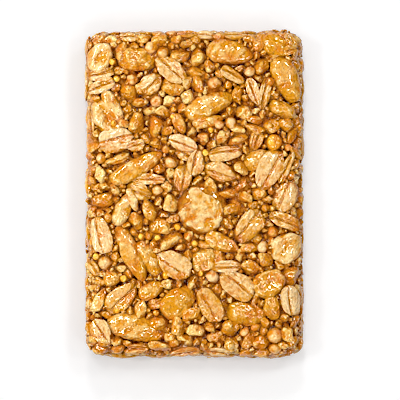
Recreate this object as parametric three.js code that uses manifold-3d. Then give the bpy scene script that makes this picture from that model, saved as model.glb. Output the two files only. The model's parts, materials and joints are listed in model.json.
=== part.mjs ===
// A pressed granola bar: peanut halves, rolled oat flakes, cereal crisps, sorghum grains and millet
// seeds held together by set syrup. It is one solid, a core slab with every piece that shows fused on.
// Millimetres, +Z up, +X across the bar, +Y along it. The origin is the centre of the flat underside.

import * as THREE from "three";
import { mergeVertices } from "three/addons/utils/BufferGeometryUtils.js";
import Module from "manifold-3d";

// Driving dimensions of the bar.
const WIDTH = 57.5;
const LENGTH = 86;
const HEIGHT = 15;
const CORNER = 5.2; // plan radius of the corners, and how far in from a side the top starts to fall
const TOP_DROP = 4.2; // how far the rounded shoulder falls at the top
const BASE_RISE = 1.8; // the tighter rounding along the underside
const CORE_DEPTH = 1.5; // the core slab lies this far inside the pieces' outer faces
const ROOT = 0.6; // how far a piece reaches into the core
const LEAN = 0.07; // most that a piece leans along its length, and half of what it may lean across

const SEED = 20417;
const COLOUR = 0xcb8f45;

// Half the thickness of a piece as a share of its width, and the least and most it may be.
const KINDS = {
  nut: { rise: 0.42, least: 1.1, most: 2.4 },
  cut: { rise: 0.3, least: 1.0, most: 1.9 },
  glazed: { rise: 0.4, least: 1.1, most: 2.3 },
  oat: { rise: 0.14, least: 0.55, most: 0.8 },
  crisp: { rise: 0.46, least: 0.7, most: 2.1 },
  grain: { rise: 0.46, least: 0.8, most: 1.8 },
};

// The arrangement on the top face, lowest pieces first:
// kind, centre x, centre y, length, width, turn of the length from +X in degrees, level below flush.
const TOP_PIECES = [
  // The far edge.
  ["oat", -16.8, 41.0, 5.5, 2.8, -3, -0.3], ["crisp", -13.2, 40.9, 4.2, 2.8, 5, -0.2],
  ["crisp", -8.8, 40.4, 4.4, 3.0, 10, -0.1], ["oat", -1.8, 41.9, 5.6, 2.4, 2, -0.1],
  ["oat", 2.8, 41.6, 5.0, 2.8, -3, -0.2], ["oat", 10.3, 41.5, 5.6, 2.8, -3, -0.2],
  ["glazed", 17.0, 39.6, 5.4, 3.4, 70, -0.2], ["glazed", 21.4, 38.8, 8.4, 5.6, -22, 0.0],
  ["crisp", 20.7, 36.6, 4.4, 3.2, 25, -0.2],
  // The far third.
  ["cut", -24.9, 35.4, 8.2, 6.4, 62, 0.0], ["crisp", -18.9, 36.7, 5.4, 3.6, 75, -0.5],
  ["glazed", -14.6, 34.6, 10.6, 6.2, -3, -0.6], ["grain", -11.3, 37.9, 4.0, 3.4, 15, 0.0],
  ["grain", -8.3, 36.6, 3.6, 3.2, 40, 0.0], ["crisp", -3.4, 36.0, 5.2, 3.8, -5, -0.4],
  ["crisp", 0.9, 35.3, 5.0, 4.0, 75, -0.1], ["nut", 9.0, 36.4, 12.2, 6.4, -8, 0.0],
  ["oat", -6.1, 32.1, 9.2, 5.2, -40, 0.0], ["oat", -11.2, 28.5, 6.6, 5.2, 40, -0.2],
  ["grain", -16.2, 29.7, 3.3, 3.2, 0, 0.0], ["crisp", -17.4, 26.6, 6.0, 4.6, -48, -0.1],
  ["oat", -24.6, 30.9, 7.2, 3.4, 8, -0.3], ["oat", -24.2, 28.0, 7.4, 3.4, 22, -0.2],
  ["crisp", -5.9, 27.5, 5.4, 3.8, -35, -0.2], ["crisp", -1.9, 29.0, 3.6, 3.2, 30, -0.4],
  ["grain", -9.8, 24.1, 3.6, 3.2, -60, 0.0], ["crisp", -14.3, 23.6, 4.6, 3.4, 10, -0.7],
  ["nut", 23.6, 29.4, 13.0, 6.6, -66, 0.0], ["oat", 15.3, 26.4, 7.6, 3.2, -68, -0.1],
  ["oat", 18.2, 25.9, 8.4, 3.0, 78, -0.1], ["grain", 5.1, 28.5, 4.0, 3.8, 0, 0.0],
  ["oat", 9.8, 30.7, 6.8, 3.0, -32, -0.3], ["crisp", -0.1, 31.4, 5.4, 2.6, -8, -0.4],
  ["crisp", 0.9, 28.6, 4.4, 3.6, 75, -0.3], ["grain", 14.1, 31.6, 3.4, 3.0, 40, -0.2],
  ["crisp", 17.4, 33.0, 4.6, 3.6, 75, -0.3], ["crisp", 10.9, 25.6, 4.4, 3.0, 68, -0.5],
  // Above the middle.
  ["cut", -22.2, 19.4, 11.5, 7.4, -55, -0.5], ["nut", -21.1, 22.6, 9.6, 3.8, -60, 0.0],
  ["oat", -20.3, 13.9, 8.8, 6.4, 10, 0.0], ["crisp", -15.2, 18.3, 5.8, 4.4, 60, 0.0],
  ["crisp", -9.8, 17.4, 5.4, 4.0, 62, 0.0], ["oat", -15.1, 12.6, 4.6, 3.4, 15, -0.3],
  ["crisp", -8.0, 21.1, 4.0, 3.0, -40, -0.4], ["nut", -3.9, 18.3, 5.8, 3.0, -65, 0.0],
  ["nut", 3.9, 22.7, 13.6, 5.8, 22, 0.0], ["nut", 3.4, 18.8, 8.2, 3.0, 13, -0.4],
  ["grain", 6.3, 18.0, 3.0, 2.8, 0, 0.0], ["crisp", 7.0, 14.6, 4.2, 3.4, 5, 0.0],
  ["grain", 9.4, 18.3, 4.0, 3.0, -62, -0.1], ["crisp", 11.6, 14.0, 5.4, 2.6, 22, -0.2],
  ["crisp", 12.8, 21.2, 4.8, 4.2, 20, -0.3], ["crisp", 16.0, 16.6, 5.8, 2.4, -8, -0.3],
  ["crisp", 19.8, 17.8, 4.8, 4.0, -10, -0.2], ["grain", 20.5, 13.4, 4.4, 4.0, 0, 0.0],
  ["crisp", 24.2, 17.9, 4.6, 4.2, 0, -0.2], ["glazed", 22.6, 21.8, 7.4, 4.0, -24, -0.4],
  ["oat", 8.0, 10.4, 8.6, 4.0, 8, -0.2], ["oat", 15.9, 13.7, 5.2, 3.6, 72, -0.5],
  ["oat", 0.3, 8.0, 6.8, 4.6, 80, 0.0], ["oat", 6.6, 5.8, 8.6, 5.0, -22, 0.0],
  ["crisp", 11.9, 6.9, 4.8, 3.0, -48, -0.1], ["crisp", 12.8, 2.6, 4.6, 3.2, 62, -0.1],
  ["nut", 16.2, 8.8, 7.4, 5.0, 30, -0.6], ["oat", 19.3, 6.2, 10.8, 6.2, 66, 0.0],
  ["oat", 23.8, 6.8, 8.8, 2.4, 65, -0.1], ["oat", -3.1, 4.0, 6.8, 4.8, 82, -0.2],
  ["grain", -6.2, 8.2, 3.8, 3.2, -25, 0.0], ["oat", -3.0, 13.2, 7.8, 4.2, -22, -0.4],
  ["oat", -2.6, 10.2, 5.0, 3.2, -20, -0.7], ["nut", -15.2, 6.9, 15.6, 5.0, 29, 0.0],
  ["crisp", -19.4, 8.9, 6.8, 3.0, 18, -0.5], ["grain", -24.5, 9.2, 3.2, 3.0, 0, -0.3],
  ["crisp", -26.6, 12.6, 4.4, 3.6, 60, -0.2], ["crisp", -24.9, 5.0, 4.4, 3.6, 70, -0.3],
  ["oat", -27.4, 18.2, 7.0, 2.6, -82, -0.3],
  // Below the middle.
  ["oat", -12.6, 4.0, 10.4, 3.0, -4, -0.5], ["grain", -9.6, 0.8, 3.3, 3.1, 0, 0.0],
  ["oat", -14.4, 0.6, 7.0, 4.4, -18, -0.6], ["nut", -16.1, -1.4, 6.4, 2.4, -70, -0.3],
  ["crisp", -23.7, -1.8, 5.6, 4.0, 3, -0.1], ["nut", -18.7, -4.2, 8.8, 4.4, 66, -0.3],
  ["oat", -24.2, -10.6, 9.8, 5.6, -74, 0.0], ["crisp", -11.6, -4.0, 5.6, 4.2, -35, -0.2],
  ["crisp", -6.2, -2.5, 4.8, 3.8, 80, -0.1], ["crisp", -15.0, -7.0, 4.8, 3.6, -55, -0.2],
  ["crisp", -9.0, -8.3, 5.4, 4.4, 0, -0.2], ["nut", -12.2, -16.8, 10.5, 4.8, -58, -0.6],
  ["nut", -16.3, -15.4, 15.8, 5.0, -64, 0.0], ["crisp", -6.4, -12.0, 6.6, 3.2, 32, -0.1],
  ["oat", -5.3, -18.3, 9.6, 6.4, -32, 0.0], ["cut", 1.7, -4.2, 12.6, 10.0, 80, 0.0],
  ["crisp", 4.3, 1.6, 4.4, 3.6, -45, -0.1], ["crisp", 8.9, 0.3, 5.0, 3.4, -5, -0.4],
  ["crisp", 10.4, -3.6, 5.0, 4.2, -10, -0.2], ["oat", 14.2, -8.3, 9.6, 6.0, 52, 0.0],
  ["crisp", 16.6, 0.1, 4.0, 3.0, 10, -0.3], ["oat", 23.7, -0.7, 8.2, 6.0, 62, 0.0],
  ["oat", 23.6, -7.0, 9.4, 3.8, -22, -0.3], ["cut", 24.2, -13.9, 8.8, 7.2, 40, 0.0],
  ["grain", 20.2, -9.8, 3.2, 3.0, 0, -0.1], ["grain", 17.6, -13.8, 3.4, 3.2, 0, 0.0],
  ["crisp", 14.4, -13.8, 4.2, 2.8, -10, -0.3], ["crisp", 18.0, -17.2, 4.4, 3.6, -15, -0.2],
  ["glazed", 7.2, -12.4, 9.4, 4.4, -24, -0.1], ["glazed", 3.6, -17.2, 9.5, 6.0, 15, -0.8],
  ["oat", 8.3, -18.8, 7.8, 3.2, 2, -0.3], ["crisp", 14.4, -19.2, 4.6, 3.8, -25, 0.0],
  ["grain", -23.3, -17.8, 3.9, 3.7, 0, 0.0], ["oat", -26.4, -19.2, 4.8, 2.8, -52, -0.4],
  // The near third.
  ["grain", 4.6, -21.5, 3.8, 3.5, 80, 0.0], ["oat", 10.9, -23.6, 10.2, 6.4, -34, 0.0],
  ["cut", 19.4, -23.2, 8.8, 7.0, 28, 0.0], ["crisp", 25.8, -21.0, 5.8, 5.0, 70, -0.1],
  ["oat", 25.0, -27.6, 7.8, 5.4, -76, 0.0], ["glazed", 20.2, -29.6, 6.4, 4.2, -80, 0.0],
  ["oat", 4.0, -28.6, 9.8, 5.8, -62, 0.0], ["glazed", 13.3, -30.8, 10.6, 6.2, -8, -0.1],
  ["nut", -4.2, -28.2, 10.2, 7.4, 42, 0.0], ["nut", -11.2, -25.0, 7.2, 4.2, 30, 0.0],
  ["oat", -19.0, -26.9, 9.6, 5.8, 40, -0.1], ["nut", -21.4, -22.2, 4.4, 3.8, 10, 0.0],
  ["crisp", -24.6, -27.4, 7.0, 3.0, 68, -0.2], ["crisp", -14.2, -30.4, 5.6, 3.2, 84, 0.0],
  ["glazed", -15.2, -35.0, 15.0, 6.2, -14, -0.3], ["oat", -24.2, -35.6, 7.4, 5.2, -58, 0.0],
  ["crisp", -9.4, -33.8, 5.6, 4.4, 10, 0.0], ["crisp", -4.1, -34.1, 4.6, 3.6, 85, -0.1],
  ["crisp", 0.7, -35.4, 4.8, 4.2, -40, -0.1], ["crisp", -0.8, -31.0, 4.8, 3.0, 8, -0.1],
  ["crisp", 9.0, -34.8, 5.2, 4.6, 20, -0.3], ["grain", 13.0, -35.9, 3.0, 2.6, 70, -0.3],
  ["crisp", 13.6, -38.3, 5.2, 3.0, 52, -0.1], ["grain", 20.8, -36.8, 4.7, 4.2, 70, 0.0],
  ["crisp", 24.2, -35.8, 4.8, 3.0, -78, -0.1], ["crisp", 17.2, -38.9, 4.8, 4.0, -20, -0.2],
  ["crisp", 5.2, -37.0, 4.4, 3.4, 30, -0.8], ["crisp", -9.0, -40.0, 5.4, 3.4, 5, 0.0],
  ["oat", -14.6, -40.3, 5.4, 2.6, 6, -0.2], ["oat", -2.4, -41.3, 7.8, 3.0, 8, -0.1],
  ["oat", 6.2, -41.3, 6.4, 3.0, -6, -0.1], ["grain", 20.8, -40.8, 3.6, 3.0, 0, -0.1],
];

// What a seeded rule adds round the sides, the largest first: a kind, its length and how slim it is.
const BATCHES = [
  { kind: "nut", tries: 60, length: [7, 11], slim: [0.42, 0.55] },
  { kind: "oat", tries: 180, length: [6.5, 9.5], slim: [0.4, 0.62] },
  { kind: "crisp", tries: 420, length: [3.8, 5.6], slim: [0.66, 0.92] },
  { kind: "grain", tries: 140, length: [3.0, 3.8], slim: [0.88, 0.96] },
];
const SPACING = 0.86; // 1 lets footprints touch, and less lets them bite into each other
const SIDE_HIGH = 10.8; // highest centre of a piece on a side, whose lowest clears the base
const SIDE_LEVEL = [-0.6, 0.15];
const SIDE_TURN = [-22, 22];
const CORNER_LONGEST = 4.4; // a longer piece would stand out past a rounded corner,
const CORNER_SINK = 0.55; // where a straight piece also lies deeper

// Repeatable draws in [0, 1), the same on every run.
function makeRandom(seed) {
  let state = seed >>> 0;
  return () => {
    state = (state + 0x6d2b79f5) >>> 0;
    let t = Math.imul(state ^ (state >>> 15), state | 1);
    t = (t + Math.imul(t ^ (t >>> 7), t | 61)) ^ t;
    return ((t ^ (t >>> 14)) >>> 0) / 4294967296;
  };
}

const within = ([low, high], share) => low + (high - low) * share;
const clamp = (value, limit) => Math.max(-limit, Math.min(limit, value));

// The point and outward normal on the rounded top above (x, y).
function onTop(x, y) {
  const dx = x - clamp(x, WIDTH / 2 - CORNER);
  const dy = y - clamp(y, LENGTH / 2 - CORNER);
  const share = Math.min(Math.hypot(dx, dy) / CORNER, 0.96);
  const rise = Math.sqrt(1 - share * share);
  const normal = new THREE.Vector3(dx / CORNER ** 2, dy / CORNER ** 2, rise / TOP_DROP).normalize();
  return { point: new THREE.Vector3(x, y, HEIGHT - TOP_DROP * (1 - rise)), normal };
}

// The point and outward normal on the wall, a share of the way round, at height z.
function onSide(share, z) {
  const half = [WIDTH / 2 - CORNER, LENGTH / 2 - CORNER];
  const arc = (Math.PI / 2) * CORNER;
  const quarter = half[0] + half[1] + arc;
  let along = share * 4 * quarter;
  const quadrant = Math.floor(along / quarter);
  along -= quadrant * quarter;
  if (quadrant % 2) along = quarter - along;
  const turn = Math.max(0, Math.min(along - half[1], arc)) / CORNER;
  const x = half[0] - Math.max(0, along - half[1] - arc) + CORNER * Math.cos(turn);
  const y = Math.min(along, half[1]) + CORNER * Math.sin(turn);
  const sx = quadrant === 0 || quadrant === 3 ? 1 : -1;
  const sy = quadrant < 2 ? 1 : -1;
  const drop = Math.max(0, z - (HEIGHT - TOP_DROP)) / TOP_DROP;
  const rise = Math.sqrt(1 - drop * drop);
  const out = new THREE.Vector3(sx * Math.cos(turn), sy * Math.sin(turn), 0);
  const point = new THREE.Vector3(sx * x, sy * y, z).addScaledVector(out, -CORNER * (1 - rise));
  return { point, normal: out.multiplyScalar(rise / CORNER).setZ(drop / TOP_DROP).normalize() };
}

// A piece in its place: its centre and its own axes along, across and up out of the bar.
// Where it lies also settles how it leans, so that no two neighbours lie quite alike.
function settle(kind, { point, normal }, length, width, turn, level) {
  const { rise, least, most } = KINDS[kind];
  const half = Math.min(most, Math.max(least, width * rise));
  const start = normal.z > 0.3 ? new THREE.Vector3(1, 0, 0) : new THREE.Vector3(-normal.y, normal.x, 0);
  const across = new THREE.Vector3().crossVectors(normal, start).normalize();
  const along = new THREE.Vector3().crossVectors(across, normal);
  const angle = THREE.MathUtils.degToRad(turn);
  along.multiplyScalar(Math.cos(angle)).addScaledVector(across, Math.sin(angle));
  across.crossVectors(normal, along);
  const up = normal.clone();
  up.addScaledVector(along, LEAN * Math.sin(1.7 * point.x + 2.9 * point.y + point.z));
  up.addScaledVector(across, 2 * LEAN * Math.sin(2.3 * point.x - 1.3 * point.y + point.z)).normalize();
  along.addScaledVector(up, -along.dot(up)).normalize();
  across.crossVectors(up, along);
  const centre = point.clone().addScaledVector(normal, level - half);
  return { kind, length, width, half, level, up, along, across, centre };
}

// How near a point is to a piece's footprint, seen as a capsule along it.
function distanceTo(piece, point) {
  const reach = Math.max(0, (piece.length - piece.width) / 2);
  const offset = new THREE.Vector3().subVectors(point, piece.centre);
  const along = clamp(offset.dot(piece.along), reach);
  return offset.addScaledVector(piece.along, -along).length();
}

function isClear(candidate, placed) {
  const reach = Math.max(0, (candidate.length - candidate.width) / 2);
  const probes = [-1, 0, 1].map((end) =>
    candidate.centre.clone().addScaledVector(candidate.along, end * reach));
  return placed.every((piece) => {
    const gap = (SPACING * (piece.width + candidate.width)) / 2;
    return probes.every((probe) => distanceTo(piece, probe) > gap);
  });
}

// A drawn piece on the side wall, shorter and deeper where the wall turns a corner.
function drawSidePiece({ kind, length, slim }, random) {
  const share = random();
  const { normal } = onSide(share, 0);
  const turns = Math.min(Math.abs(normal.x), Math.abs(normal.y)) > 0.01;
  const long = Math.min(within(length, random()), turns ? CORNER_LONGEST : WIDTH);
  const wide = long * within(slim, random());
  const spot = onSide(share, within([wide / 2 + long * 0.15, SIDE_HIGH], random()));
  const level = within(SIDE_LEVEL, random()) - (turns ? CORNER_SINK : 0);
  return settle(kind, spot, long, wide, within(SIDE_TURN, random()), level);
}

// Every piece that shows: the top's arrangement, then what each batch finds room for on the sides.
function arrange() {
  const random = makeRandom(SEED);
  const placed = TOP_PIECES.map(([kind, x, y, length, width, turn, level]) =>
    settle(kind, onTop(x, y), length, width, turn, level));
  for (const batch of BATCHES) {
    for (let i = 0; i < batch.tries; i++) {
      const piece = drawSidePiece(batch, random);
      if (isClear(piece, placed)) placed.push(piece);
    }
  }
  return placed;
}

const wasm = await Module();
wasm.setup();

// A closed three.js geometry as a solid that can be joined and cut.
function solidOf(geometry) {
  geometry.deleteAttribute("normal");
  geometry.deleteAttribute("uv");
  const merged = mergeVertices(geometry, 1e-4);
  return new wasm.Manifold(new wasm.Mesh({
    numProp: 3,
    vertProperties: merged.attributes.position.array,
    triVerts: new Uint32Array(merged.index.array),
  }));
}

// Moves each vertex of a geometry as shape(v) says.
function reshape(geometry, shape) {
  const position = geometry.attributes.position;
  const v = new THREE.Vector3();
  for (let i = 0; i < position.count; i++) {
    v.fromBufferAttribute(position, i);
    shape(v);
    position.setXYZ(i, v.x, v.y, v.z);
  }
  return geometry;
}

// A unit ball whose meridians run along X, with one of them along the top.
function longBall(around, along) {
  return new THREE.SphereGeometry(1, around, along).rotateZ(-Math.PI / 2).rotateX(Math.PI / 2);
}

// A smooth bump that gives each corner of a crisp its own size, alike wherever corners coincide.
function lumpiness(v, phase) {
  return 1 + 0.16 * Math.sin(5.1 * v.x + 3.7 * v.y + phase) * Math.cos(4.3 * v.z - 2.9 * v.y + 2 * phase);
}

const SHAPES = {
  // A peanut half, a dome that narrows towards its tip and bends a little.
  nut: (phase) => reshape(longBall(7, 5), (v) => {
    const girth = 1 - 0.14 * v.x - 0.05 * v.x * v.x;
    v.set(v.x, v.y * girth + 0.12 * Math.sin(phase) * (1 - v.x * v.x), v.z * girth);
  }),
  // A peanut half with its split face up, its rim highest and hollowed along the middle.
  cut: () => reshape(longBall(8, 5), (v) => {
    const height = v.z > 0 ? Math.min(1.45 * v.z, 0.9) - (v.z > 0.9 ? 0.25 : 0) : v.z;
    v.set(v.x, v.y * (1 - 0.12 * v.x), height);
  }),
  // A peanut half under thick, lumpy glaze.
  glazed: (phase) => reshape(longBall(7, 5), (v) => v.multiplyScalar(lumpiness(v, phase))),
  // A rolled oat, two thin lobes with a crease between them.
  oat: (phase) => reshape(longBall(6, 4), (v) => {
    const crease = v.z > 0.5 && Math.abs(v.y) < 0.1 ? 0.75 : 0;
    v.set(v.x, v.y, v.z - crease * v.z + 0.35 * Math.sin(phase) * v.x * v.x);
  }),
  // A lumpy cereal nugget.
  crisp: (phase) => reshape(new THREE.IcosahedronGeometry(1, 0), (v) =>
    v.multiplyScalar(lumpiness(v, phase))),
  grain: () => new THREE.IcosahedronGeometry(1, 0),
};

// One piece as a solid. Its buried half is drawn down far enough to root in the core.
function pieceSolid(piece, index) {
  const shape = SHAPES[piece.kind](index * 2.4);
  const buried = Math.max(piece.half, CORE_DEPTH + ROOT + piece.level - piece.half);
  reshape(shape, (v) => v.set(
    (v.x * piece.length) / 2,
    (v.y * piece.width) / 2,
    v.z * (v.z > 0 ? piece.half : buried),
  ));
  const place = new THREE.Matrix4().makeBasis(piece.along, piece.across, piece.up);
  return solidOf(shape.applyMatrix4(place.setPosition(piece.centre)));
}

// A closed slab with rounded plan corners and rounded long edges, CORE_DEPTH inside the bar's form.
function coreSolid() {
  const radius = CORNER - CORE_DEPTH;
  const drop = TOP_DROP - CORE_DEPTH;
  const [hx, hy] = [WIDTH / 2 - CORE_DEPTH, LENGTH / 2 - CORE_DEPTH];
  const rows = [
    { z: 0, draw: BASE_RISE },
    { z: BASE_RISE, draw: 0 },
    ...[0, 50, 90].map((degrees) => {
      const angle = THREE.MathUtils.degToRad(degrees);
      return { z: HEIGHT - TOP_DROP + drop * Math.sin(angle), draw: radius * (1 - Math.cos(angle)) };
    }),
  ];
  const outline = new THREE.Shape();
  const [cx, cy] = [hx - radius, hy - radius];
  outline.absarc(cx, cy, radius, 0, Math.PI / 2);
  outline.absarc(-cx, cy, radius, Math.PI / 2, Math.PI);
  outline.absarc(-cx, -cy, radius, Math.PI, 1.5 * Math.PI);
  outline.absarc(cx, -cy, radius, 1.5 * Math.PI, 2 * Math.PI);
  const slab = new THREE.ExtrudeGeometry(outline, {
    depth: 1, steps: rows.length - 1, curveSegments: 3, bevelEnabled: false,
  });
  return solidOf(reshape(slab, (v) => {
    const row = rows[Math.round(v.z * (rows.length - 1))];
    v.set(v.x * (1 - row.draw / hx), v.y * (1 - row.draw / hy), row.z);
  }));
}

// The pressing box: nothing reaches past the bar's width, length or height, and the base is flat.
function pressSolid() {
  return solidOf(new THREE.BoxGeometry(WIDTH, LENGTH, HEIGHT).translate(0, 0, HEIGHT / 2));
}

function barMesh() {
  const solids = [coreSolid(), ...arrange().map(pieceSolid)];
  const fused = wasm.Manifold.union(solids).intersect(pressSolid());
  const mesh = fused.getMesh();
  const geometry = new THREE.BufferGeometry();
  geometry.setAttribute("position", new THREE.BufferAttribute(new Float32Array(mesh.vertProperties), 3));
  geometry.setIndex(new THREE.BufferAttribute(new Uint32Array(mesh.triVerts), 1));
  geometry.computeVertexNormals();
  const material = new THREE.MeshStandardMaterial({ color: COLOUR, roughness: 0.45, metalness: 0 });
  const bar = new THREE.Mesh(geometry, material);
  bar.name = "bar";
  return bar;
}

const group = new THREE.Group();
group.add(barMesh());
export default group;
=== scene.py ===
"""A pressed granola bar: nuts, oats, crisps and seeds set in glossy caramel syrup.

Every length in the classes is in millimetres and turns to metres when a mesh is made. The bar
stands on the origin, with its width along X, its length along Y and its thickness along Z.
"""

import itertools
import json
import logging
import math
from collections.abc import Iterator
from dataclasses import dataclass, field
from enum import Enum

import bmesh
import bpy
import numpy as np
from mathutils import Matrix, Vector

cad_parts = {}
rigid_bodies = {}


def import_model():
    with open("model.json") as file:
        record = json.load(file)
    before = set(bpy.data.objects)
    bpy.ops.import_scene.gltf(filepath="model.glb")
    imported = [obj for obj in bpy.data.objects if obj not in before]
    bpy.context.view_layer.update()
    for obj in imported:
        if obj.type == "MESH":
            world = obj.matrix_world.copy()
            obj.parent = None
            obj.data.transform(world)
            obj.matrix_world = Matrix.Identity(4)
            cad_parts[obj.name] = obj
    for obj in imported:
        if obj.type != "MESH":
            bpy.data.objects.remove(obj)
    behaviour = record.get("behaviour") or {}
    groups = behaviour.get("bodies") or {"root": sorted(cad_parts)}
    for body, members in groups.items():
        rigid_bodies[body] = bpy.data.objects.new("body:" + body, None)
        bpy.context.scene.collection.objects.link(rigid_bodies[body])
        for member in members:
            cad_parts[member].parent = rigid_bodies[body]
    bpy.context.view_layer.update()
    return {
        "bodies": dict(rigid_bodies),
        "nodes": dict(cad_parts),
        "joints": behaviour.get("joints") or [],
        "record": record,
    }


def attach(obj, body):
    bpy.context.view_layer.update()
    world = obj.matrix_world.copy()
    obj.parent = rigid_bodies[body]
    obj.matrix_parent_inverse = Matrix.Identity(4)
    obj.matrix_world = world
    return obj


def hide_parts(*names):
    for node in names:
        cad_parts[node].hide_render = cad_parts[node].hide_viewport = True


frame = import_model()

LOG = logging.getLogger("granola_bar")
MM = 0.001
NODE = "bar"
BODY = "root"
SEED = 20417
FAR = 9.0  # further than any gap or crease reaches
NEAR_FACE = 3.0  # a place further over or under a piece belongs to another face
STEEP = 0.3  # a normal that rises less is a wall's
TINY = 1e-6
DOWN = np.array([0.0, 0.0, -1.0])
Points = np.ndarray
Colour = tuple[float, float, float, float]
WHITE: Colour = (1.0, 1.0, 1.0, 1.0)


def srgb(red: float, green: float, blue: float) -> Colour:
    """Turn a colour on a scale of 0 to 255 into the linear one that a shader takes.

    Args:
        red: The red share.
        green: The green share.
        blue: The blue share.

    Returns:
        Linear red, green and blue, with an alpha of 1.
    """
    linear = [
        share / 12.92 if share <= 0.04045 else ((share + 0.055) / 1.055) ** 2.4
        for share in (red / 255, green / 255, blue / 255)
    ]
    return (*linear, 1.0)


# --- Draws and noise ---


class Draws:
    """Repeatable draws in [0, 1), the same on every run and machine."""

    MASK = 0xFFFFFFFF
    STRIDE = 0x6D2B79F5

    def __init__(self, seed: int) -> None:
        """Start the row of draws that belongs to a seed."""
        self._state = seed & self.MASK

    def next(self) -> float:
        """Return the next draw.

        Returns:
            A number in [0, 1).
        """
        self._state = (self._state + self.STRIDE) & self.MASK
        mixed = ((self._state ^ (self._state >> 15)) * (self._state | 1)) & self.MASK
        stirred = ((mixed ^ (mixed >> 7)) * (mixed | 61)) & self.MASK
        mixed = ((mixed + stirred) & self.MASK) ^ mixed
        return ((mixed ^ (mixed >> 14)) & self.MASK) / (self.MASK + 1)

    def within(self, span: tuple[float, float]) -> float:
        """Return a draw between the two ends of a span."""
        return span[0] + (span[1] - span[0]) * self.next()


@dataclass(frozen=True)
class Ripple:
    """Smooth noise made of a few waves in random directions.

    Attributes:
        seed: Which noise it is.
        waves: How many waves are added.
        spread: The lowest and the highest frequency, as shares of the typical one.
    """

    seed: int
    waves: int = 9
    spread: tuple[float, float] = (0.65, 1.45)

    def at(self, points: Points, size: float) -> Points:
        """Return the noise at some points, mostly between -1 and 1.

        Args:
            points: One row of three lengths for each point.
            size: The length of a typical wave.

        Returns:
            One value for each point.
        """
        rng = np.random.default_rng(self.seed)
        ways = rng.normal(size=(self.waves, 3))
        ways /= np.linalg.norm(ways, axis=1, keepdims=True)
        ways *= rng.uniform(*self.spread, (self.waves, 1)) * 2 * math.pi / size
        phases = rng.uniform(0, 2 * math.pi, self.waves)
        return np.sin(points @ ways.T + phases).sum(axis=1) / math.sqrt(self.waves)


WALL_DENTS, FINE_WALL_DENTS = Ripple(11), Ripple(12)
SYRUP_WAVES, FINE_SYRUP_WAVES = Ripple(5), Ripple(6)


# --- The bar's form and where each piece lies in it ---


class Kind(Enum):
    """What a piece is. Half its thickness is a share of its width, with a least and a most."""

    NUT = (0.42, 1.1, 2.4)
    CUT = (0.3, 1.0, 1.9)
    TORN = (0.2, 1.0, 1.7)
    GLAZED = (0.4, 1.1, 2.3)
    OAT = (0.14, 0.55, 0.8)
    CRISP = (0.46, 0.7, 2.1)
    GRAIN = (0.46, 0.8, 1.8)
    MILLET = (0.5, 0.6, 1.1)
    CRUMB = (0.48, 0.35, 1.7)

    def half(self, width: float) -> float:
        """Return half the thickness of a piece of some width."""
        share, least, most = self.value
        return min(most, max(least, width * share))


class Face(Enum):
    """The face of the bar that a piece lies in."""

    TOP = "top"
    SIDE = "side"
    BASE = "base"


@dataclass
class Spot:
    """A place on the bar's outer form: a point and its outward normal."""

    point: Points
    normal: Points


@dataclass
class Bit:
    """One piece in its place.

    Attributes:
        kind: What it is.
        length: Its length.
        width: Its width.
        half: Half its thickness.
        level: How far its crown stands out of the bar's outer form.
        spot: The place on the outer form that it lies under.
        along: The way of its length.
        across: The way of its width.
        up: The way of its crown.
        centre: Its middle.
        tone: From -1, dark and glazed, to 1, pale and bare, or nan where chance gives it.
        number: A number of its own, which its small differences come from.
    """

    kind: Kind
    length: float
    width: float
    half: float
    level: float
    spot: Spot
    along: Points
    across: Points
    up: Points
    centre: Points
    tone: float = math.nan
    number: int = 0

    @property
    def phase(self) -> float:
        """An angle of its own."""
        return self.number * 2.4

    def place(self, local: Points) -> Points:
        """Move points from the piece's own frame into the bar's."""
        return self.centre + local @ np.stack([self.along, self.across, self.up])


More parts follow.
